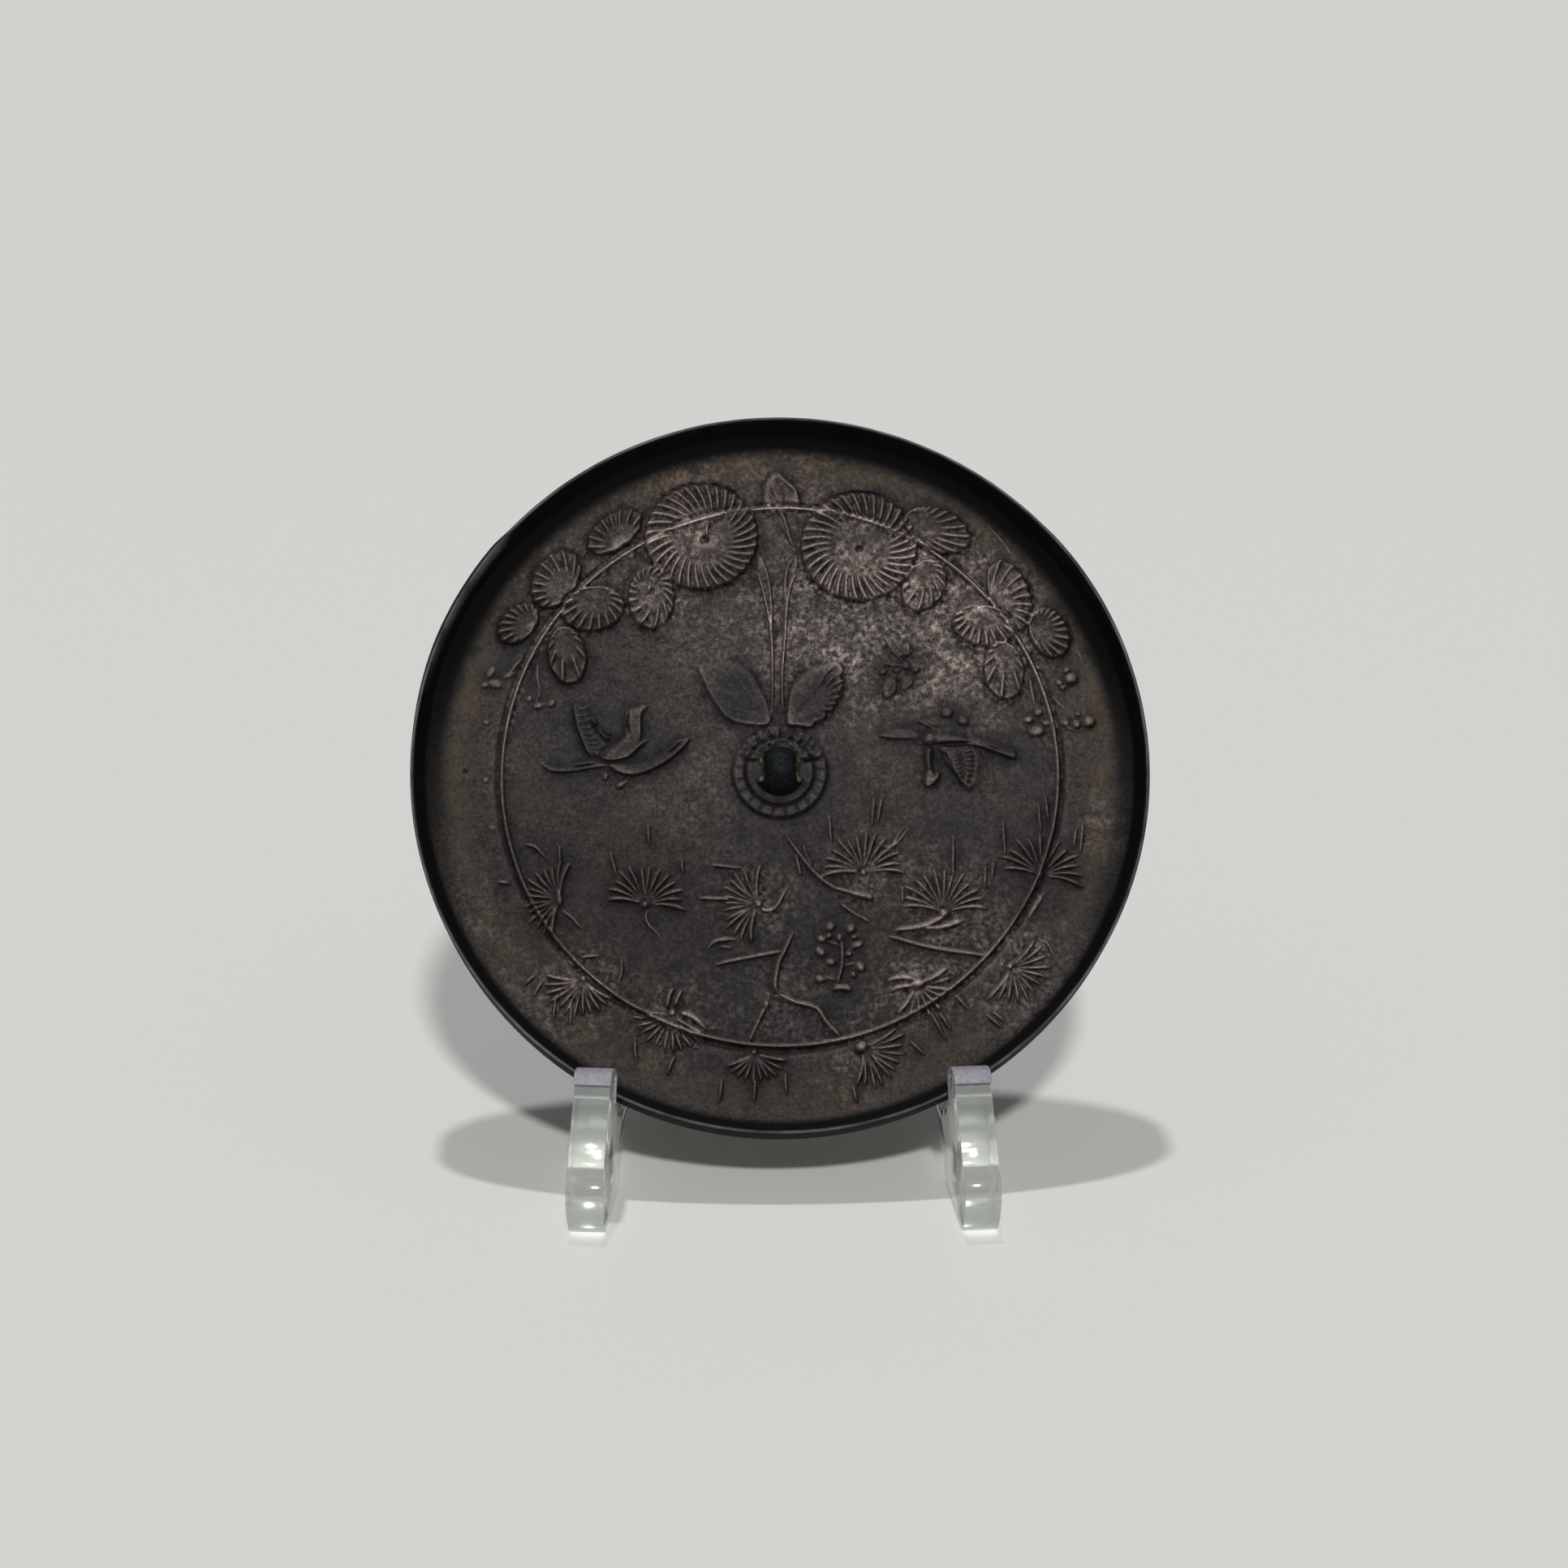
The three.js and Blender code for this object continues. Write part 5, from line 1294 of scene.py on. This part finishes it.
knob_tone = add(bronze, "ShaderNodeValToRGB", {0: noise["grit"]}, stops=[(0.4, "#0A0B0D"), (0.7, "#1B2023")])
face_tone = add(bronze, "ShaderNodeValToRGB", {0: noise["tarnish"]},
                stops=[(0.3, "#5B4E42"), (0.48, "#8C7C69"), (0.62, "#A39681"), (0.8, "#6B6250")])
layers += [
    # near black: corrosion in the hollows, and painted shade in them and on steep slopes
    (mask["corrosion_and_painted_shade"], colour("#070709")),
    # pale bare metal, and the painted highlight on slopes that face the upper left
    (rubbed, colour("#AB9B94")),
    # near-black wall, and the painted shadow of the rim at the top of the field
    (mask["wall"], colour("#020304")),
    # grey-blue bare lip with a painted highlight line
    (shows["lip"], colour("#75787F")),
    (mask["knob_part"], knob_tone),
    # pale gold at the cord hole: worn metal and painted glints
    (shows["mouths"], colour("#F2E0B4")),
    (mask["face"], face_tone),
]
for share, tone in layers:
    skin = add(bronze, "ShaderNodeMix", {0: share, 6: skin, 7: tone}, output=2, data_type="RGBA")
print("layers of patina:", len(layers))

# %% [markdown]
# ### Shine and fine unevenness
#
# The skin is dull, the bare metal is smoother, the wall is the dullest and the polished face the brightest.
# The noises that colour the skin also lift it a little, so its colour and its roughness agree.

# %% Shine, metal and bump
polish = add(bronze, "ShaderNodeValToRGB", {0: noise["smear"]}, stops=[(0.35, 0.22), (0.7, 0.42)])
roughness = add(bronze, "ShaderNodeValToRGB", {0: noise["grit"]}, stops=[(0.3, 0.58), (0.7, 0.46)])
for share, value in ((bare, 0.36), (mask["wall"], 0.8), (mask["face"], polish)):
    roughness = add(bronze, "ShaderNodeMix", {0: share, 2: roughness, 3: value}, data_type="FLOAT")
metal_share = add(bronze, "ShaderNodeMath", {0: bare, 1: 0.5, 2: 0.45}, operation="MULTIPLY_ADD",
                  use_clamp=True)
skin_free = add(bronze, "ShaderNodeMath", {0: mask["wall"], 1: -0.9, 2: 1.0}, operation="MULTIPLY_ADD")
metal_share = add(bronze, "ShaderNodeMath", {0: metal_share, 1: skin_free}, operation="MULTIPLY")

height = 0.0
for name, weight in (("grit", 0.6), ("fine", 0.25), ("blotch", 0.6)):
    height = add(bronze, "ShaderNodeMath", {0: noise[name], 1: weight, 2: height}, operation="MULTIPLY_ADD")
off_face = add(bronze, "ShaderNodeMath", {0: mask["face"], 1: -0.93, 2: 1.0}, operation="MULTIPLY_ADD")
uneven = add(bronze, "ShaderNodeBump", {"Height": height, "Distance": 0.14 * MM, "Strength": off_face})
metal = add(bronze, "ShaderNodeBsdfPrincipled", {
    "Base Color": skin, "Roughness": roughness, "Metallic": metal_share, "Normal": uneven,
    "Specular IOR Level": 0.12,
})
add(bronze, "ShaderNodeOutputMaterial", {"Surface": metal})
mirror.data.materials.clear()
mirror.data.materials.append(bronze)

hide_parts("mirror")
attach(mirror, "root")
print("bronze:", len(bronze.node_tree.nodes), "nodes")

# %% [markdown]
# ## The acrylic legs
#
# Each leg is one piece of 5 mm clear acrylic sheet, cut to an outline and flame polished, so its edges are
# as clear as its faces and its corners are barely rounded. An outline of straight lines and curves is
# filled, pushed out to the sheet's thickness and given a small bevel. Light bends at every face, so the
# shape alone makes the bright and dark bands that clear acrylic shows.

# %% Sizes of the legs and pads
LEG_THICKNESS = 5.0
LEG_SPACING = 25.35
LEG_TOE_IN = np.radians(5)
PAD_WIDTH = 5.2
PAD_THICKNESS = 0.5
GAP = 0.3
SLOT_CLEARANCE = GAP + PAD_WIDTH / 2 * np.sin(LEG_TOE_IN) + 0.03
SLOT_AT = -24.0  # how far the slots lie in front of the middle of the lip
INNER_EDGE = LEG_SPACING - PAD_WIDTH / 2 - 0.1
SLOT_FLOOR = -(np.sqrt(RADIUS ** 2 - INNER_EDGE ** 2) + GAP + PAD_THICKNESS + GAP)
HOOK_BACK = SLOT_CLEARANCE + PAD_THICKNESS + GAP
HOOK_FRONT = 6.8  # fronts and backs are distances out from the lip's plane,
HOOK_TOP = -44.5  # and tops and floors are distances up along it from its middle
POST_FRONT = -RIM_HEIGHT - SLOT_CLEARANCE
POST_TOP = -12.0
POST_LEAN = 0.6  # the post leans away by this much at its top
NOSE = (-17.0, 6.4)  # the foremost point of the toe, as depth and height
FRONT_FOOT = (-14.0, 0.6)  # where the front foot begins and ends
ARCH_END = 36.0
REAR_FOOT = 46.5
ARCH_HEIGHT = 6.6
lip_height = lip_middle.z / MM


def beside(out, up):
    """A point out from the lip's plane and up along it, as depth and height in a leg's own plane."""
    return np.array([up * np.sin(LEAN) - out * np.cos(LEAN) - SLOT_AT,
                     lip_height + up * np.cos(LEAN) + out * np.sin(LEAN)])


print("the slot floor is", round(float(beside(0, SLOT_FLOOR)[1]), 1), "mm up")

# %% A pen for outlines
class Outline:
    """A closed outline of straight lines and curves, as a list of points."""

    def __init__(self, start):
        self.points = [np.array(start, float)]

    def to(self, end):
        self.points.append(np.array(end, float))

    def round(self, corner, end, count=10):
        a, b, c = self.points[-1], np.array(corner, float), np.array(end, float)
        for t in np.linspace(0, 1, count + 1)[1:]:
            self.points.append(a * (1 - t) ** 2 + 2 * b * t * (1 - t) + c * t * t)

    def curve(self, b, c, d, count=16):
        a, b, c, d = self.points[-1], np.array(b, float), np.array(c, float), np.array(d, float)
        for t in np.linspace(0, 1, count + 1)[1:]:
            s = 1 - t
            self.points.append(a * s ** 3 + 3 * b * s * s * t + 3 * c * s * t * t + d * t ** 3)


# %% The two outlines
def leg_outline():
    """The leg, from its front foot under the arch, up the post, down into the slot and over the hook."""
    o = Outline((FRONT_FOOT[0], 0))
    o.to((FRONT_FOOT[1], 0))
    o.round((1.6, 0), (2.2, 1.4))
    o.curve((3.4, 4.6), (6.0, ARCH_HEIGHT - 0.4), (14.0, ARCH_HEIGHT))
    o.curve((26.0, ARCH_HEIGHT + 0.3), (ARCH_END - 3.5, 5.2), (ARCH_END - 1.4, 1.4))
    o.round((ARCH_END - 0.9, 0), (ARCH_END, 0))
    o.to((REAR_FOOT, 0))
    o.round((REAR_FOOT + 1.8, 0), (REAR_FOOT + 1.0, 2.4))
    o.to(beside(-12.6, POST_TOP - 3.0))
    o.round(beside(-11.6, POST_TOP + 0.3), beside(POST_FRONT - POST_LEAN - 2.4, POST_TOP + 0.3))
    o.round(beside(POST_FRONT - POST_LEAN, POST_TOP + 0.3), beside(POST_FRONT - POST_LEAN, POST_TOP - 2.2))
    o.to(beside(POST_FRONT, SLOT_FLOOR + 0.8))
    o.round(beside(POST_FRONT, SLOT_FLOOR), beside(POST_FRONT + 0.8, SLOT_FLOOR))
    o.to(beside(HOOK_BACK - 0.3, SLOT_FLOOR))
    o.round(beside(HOOK_BACK, SLOT_FLOOR), beside(HOOK_BACK, SLOT_FLOOR + 0.3))
    o.to(beside(HOOK_BACK, HOOK_TOP - 1.0))
    o.round(beside(HOOK_BACK, HOOK_TOP), beside(HOOK_BACK + 1.2, HOOK_TOP))
    o.round(beside(HOOK_FRONT - 0.6, HOOK_TOP), beside(HOOK_FRONT, HOOK_TOP - 2.4))
    o.to((-12.9, 11.7))
    o.round((-14.0, 9.8), (NOSE[0] + 1.2, NOSE[1] + 2.2))
    o.round((NOSE[0] - 0.4, NOSE[1] + 0.9), (NOSE[0], NOSE[1] - 1.0))
    o.round((NOSE[0] + 0.6, 1.6), (FRONT_FOOT[0], 0))
    return o.points[:-1]


def pad_outline():
    """The pad, from the back of the slot floor, up the hook and over it, and back on its other side."""
    inner = SLOT_CLEARANCE + PAD_THICKNESS
    floor = SLOT_FLOOR + GAP
    top = HOOK_TOP + GAP
    front = HOOK_FRONT + GAP
    o = Outline(beside(POST_FRONT + GAP + 0.6, floor))
    o.to(beside(inner, floor))
    o.to(beside(inner, top - 0.9))
    o.round(beside(inner, top), beside(inner + 1.5, top))
    o.round(beside(front - 0.7, top), beside(front, HOOK_TOP - 2.2))
    o.to(beside(front + PAD_THICKNESS, HOOK_TOP - 2.2))
    o.round(beside(front + PAD_THICKNESS - 0.6, top + PAD_THICKNESS),
            beside(inner + 1.5, top + PAD_THICKNESS))
    o.round(beside(SLOT_CLEARANCE, top + PAD_THICKNESS), beside(SLOT_CLEARANCE, top - 0.9))
    o.to(beside(SLOT_CLEARANCE, floor + PAD_THICKNESS))
    o.to(beside(POST_FRONT + GAP + 0.6, floor + PAD_THICKNESS))
    return o.points


print("corners of the leg:", len(leg_outline()), "and of the pad:", len(pad_outline()))

# %% [markdown]
# A cutter follows the outline through the sheet. Here the outline becomes one flat face, is pushed through to
# the thickness and gets a narrow rounded edge all round. The same step makes the pads. Each leg then turns in
# a little towards the back, as the two stand on the shelf.

# %% Cut and bevel
LEG_BEVEL = 0.18
PAD_BEVEL = 0.12
SMOOTH_UNDER = np.radians(28)  # edges that turn by less than this are shaded smooth


def cut_plate(name, outline, thickness, bevel):
    """A plate that lies in the upright plane of depth and height, with narrow rounded edges."""
    work = bmesh.new()
    corners = [work.verts.new((-thickness / 2, y, z)) for y, z in outline]
    sheet = work.faces.new(corners)
    pushed = bmesh.ops.extrude_face_region(work, geom=[sheet])
    moved = [v for v in pushed["geom"] if isinstance(v, bmesh.types.BMVert)]
    bmesh.ops.translate(work, verts=moved, vec=(thickness, 0, 0))
    bmesh.ops.recalc_face_normals(work, faces=work.faces)
    rims = [e for e in work.edges if abs(e.verts[0].co.x - e.verts[1].co.x) < 1e-6]
    bmesh.ops.bevel(work, geom=rims, offset=bevel, segments=2, affect="EDGES", profile=0.5,
                    clamp_overlap=True)
    bmesh.ops.triangulate(work, faces=[f for f in work.faces if len(f.verts) > 4])
    mesh = bpy.data.meshes.new(name)
    work.to_mesh(mesh)
    work.free()
    piece = bpy.data.objects.new(name, mesh)
    scene.collection.objects.link(piece)
    return piece


# %% Place the legs and pads
pieces = {}
for side, word in ((-1, "left"), (1, "right")):
    stand_here = (Matrix.Translation(Vector((side * LEG_SPACING, lip_middle.y / MM + SLOT_AT, 0)) * MM)
                  @ Matrix.Rotation(side * LEG_TOE_IN, 4, "Z") @ Matrix.Scale(MM, 4))
    leg = cut_plate(f"leg_{word}", leg_outline(), LEG_THICKNESS, LEG_BEVEL)
    pad = cut_plate(f"cushion_pad_{word}", pad_outline(), PAD_WIDTH, PAD_BEVEL)
    for piece, node, slot in ((leg, f"stand_leg_{word}", "acrylic"), (pad, f"pad_{word}", "pad_film")):
        piece.data.transform(stand_here)
        piece.data.polygons.foreach_set("use_smooth", np.ones(len(piece.data.polygons), bool))
        piece.data.set_sharp_from_angle(angle=SMOOTH_UNDER)
        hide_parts(node)
        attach(piece, "root")
        pieces[piece.name] = piece
print("pieces:", {name: len(piece.data.polygons) for name, piece in pieces.items()})

# %% [markdown]
# Clear acrylic bends light a little less than glass does. It has no colour of its own at this thickness.
# The cut edges keep a faint haze from the saw and the flame. A clear solid would cast a shadow as dark as a
# black one's, so the rays that look for shadow meet a plain tinted pane instead.

# %% Clear acrylic
ACRYLIC_IOR = 1.49
clear = new_material("clear_acrylic")
hazy = new_material("clear_acrylic_cut_edge")
for plastic, tone, roughness, see_through in ((clear, "#FCFEFD", 0.0, 1.0), (hazy, "#EEF3EE", 0.13, 0.8)):
    solid = add(plastic, "ShaderNodeBsdfPrincipled", {
        "Base Color": colour(tone), "Roughness": roughness, "IOR": ACRYLIC_IOR,
        "Transmission Weight": see_through,
    })
    pane = add(plastic, "ShaderNodeBsdfTransparent", {"Color": colour("#E7E8E7")})
    for_shadow = add(plastic, "ShaderNodeLightPath", output="Is Shadow Ray")
    either = add(plastic, "ShaderNodeMixShader", {0: for_shadow, 1: solid, 2: pane})
    add(plastic, "ShaderNodeOutputMaterial", {"Surface": either})

for name in ("leg_left", "leg_right"):
    leg = pieces[name]
    leg.data.materials.append(clear)
    leg.data.materials.append(hazy)
    for polygon in leg.data.polygons:
        polygon.material_index = 0 if abs(polygon.normal.x) > 0.9 else 1
    print(name, "cut-edge faces:", sum(polygon.material_index for polygon in leg.data.polygons))

# %% [markdown]
# The pads are soft clear film that has clouded to a milky lilac. Light goes in and comes out diffused.

# %% Pad film
film = new_material("milky_pad_film")
object_place = add(film, "ShaderNodeTexCoord", output="Object")
wrinkle = add(film, "ShaderNodeTexNoise", {"Vector": object_place, "Scale": 1 / (0.6 * MM), "Detail": 4.0})
milk = add(film, "ShaderNodeValToRGB", {0: wrinkle}, stops=[(0.35, "#B0ACB8"), (0.7, "#CECBD2")])
crinkled = add(film, "ShaderNodeBump", {"Height": wrinkle, "Distance": 0.25 * MM, "Strength": 1.0})
soft = add(film, "ShaderNodeBsdfPrincipled", {
    "Base Color": milk, "Roughness": 0.5, "IOR": 1.45, "Transmission Weight": 0.55, "Normal": crinkled,
})
add(film, "ShaderNodeOutputMaterial", {"Surface": soft})
for name in ("cushion_pad_left", "cushion_pad_right"):
    pieces[name].data.materials.append(film)
print("film on:", [name for name in pieces if "pad" in name])

# %% [markdown]
# ## Floor, light and air
#
# A wide pale floor fills the view. One lamp in front and a little to the right, about halfway up the sky,
# throws the mirror's shadow behind it and looks into the relief almost straight, so the relief shows by its
# tones more than by its shadows. A pale world fills in.

# %% The floor
FLOOR_REACH = 6  # metres from the middle to each edge
corners = [(-FLOOR_REACH, -FLOOR_REACH, 0), (FLOOR_REACH, -FLOOR_REACH, 0), (FLOOR_REACH, FLOOR_REACH, 0),
           (-FLOOR_REACH, FLOOR_REACH, 0)]
floor_mesh = bpy.data.meshes.new("floor")
floor_mesh.from_pydata(corners, [], [(0, 1, 2, 3)])
floor = bpy.data.objects.new("floor", floor_mesh)
scene.collection.objects.link(floor)
paper = new_material("pale_paper_floor")
matte = add(paper, "ShaderNodeBsdfPrincipled", {
    "Base Color": colour("#D9D9D6"), "Roughness": 0.85, "Specular IOR Level": 0.2,
})
add(paper, "ShaderNodeOutputMaterial", {"Surface": matte})
floor_mesh.materials.append(paper)
print("floor, m across:", 2 * FLOOR_REACH)

# %% Air and lamps
world = bpy.data.worlds.new("studio_air")
scene.world = world
world.use_nodes = True
air = world.node_tree.nodes["Background"].inputs
air["Color"].default_value = colour("#F7FCFF")
air["Strength"].default_value = 0.17


def lamp(name, azimuth, elevation, spread, strength, tint):
    """A far lamp. Azimuth 0 is straight in front, and spread is how wide the lamp looks, in degrees."""
    light = bpy.data.objects.new(name, bpy.data.lights.new(name, "SUN"))
    light.data.angle = np.radians(spread)
    light.data.energy = strength
    light.data.color = tint
    a, e = np.radians(azimuth), np.radians(elevation)
    towards = Vector((np.sin(a) * np.cos(e), -np.cos(a) * np.cos(e), np.sin(e)))
    light.rotation_euler = towards.to_track_quat("Z", "Y").to_euler()
    light.location = towards * 0.5
    scene.collection.objects.link(light)
    print(name, "stands", azimuth, "degrees round and", elevation, "up")


lamp("key_lamp", 5, 45, 4.5, 1.95, (1.0, 0.97, 0.95))
lamp("ceiling_lamp", 196, 77, 3.0, 1.15, (0.96, 1.0, 0.98))
scene.view_settings.view_transform = "Standard"
scene.view_settings.look = "None"
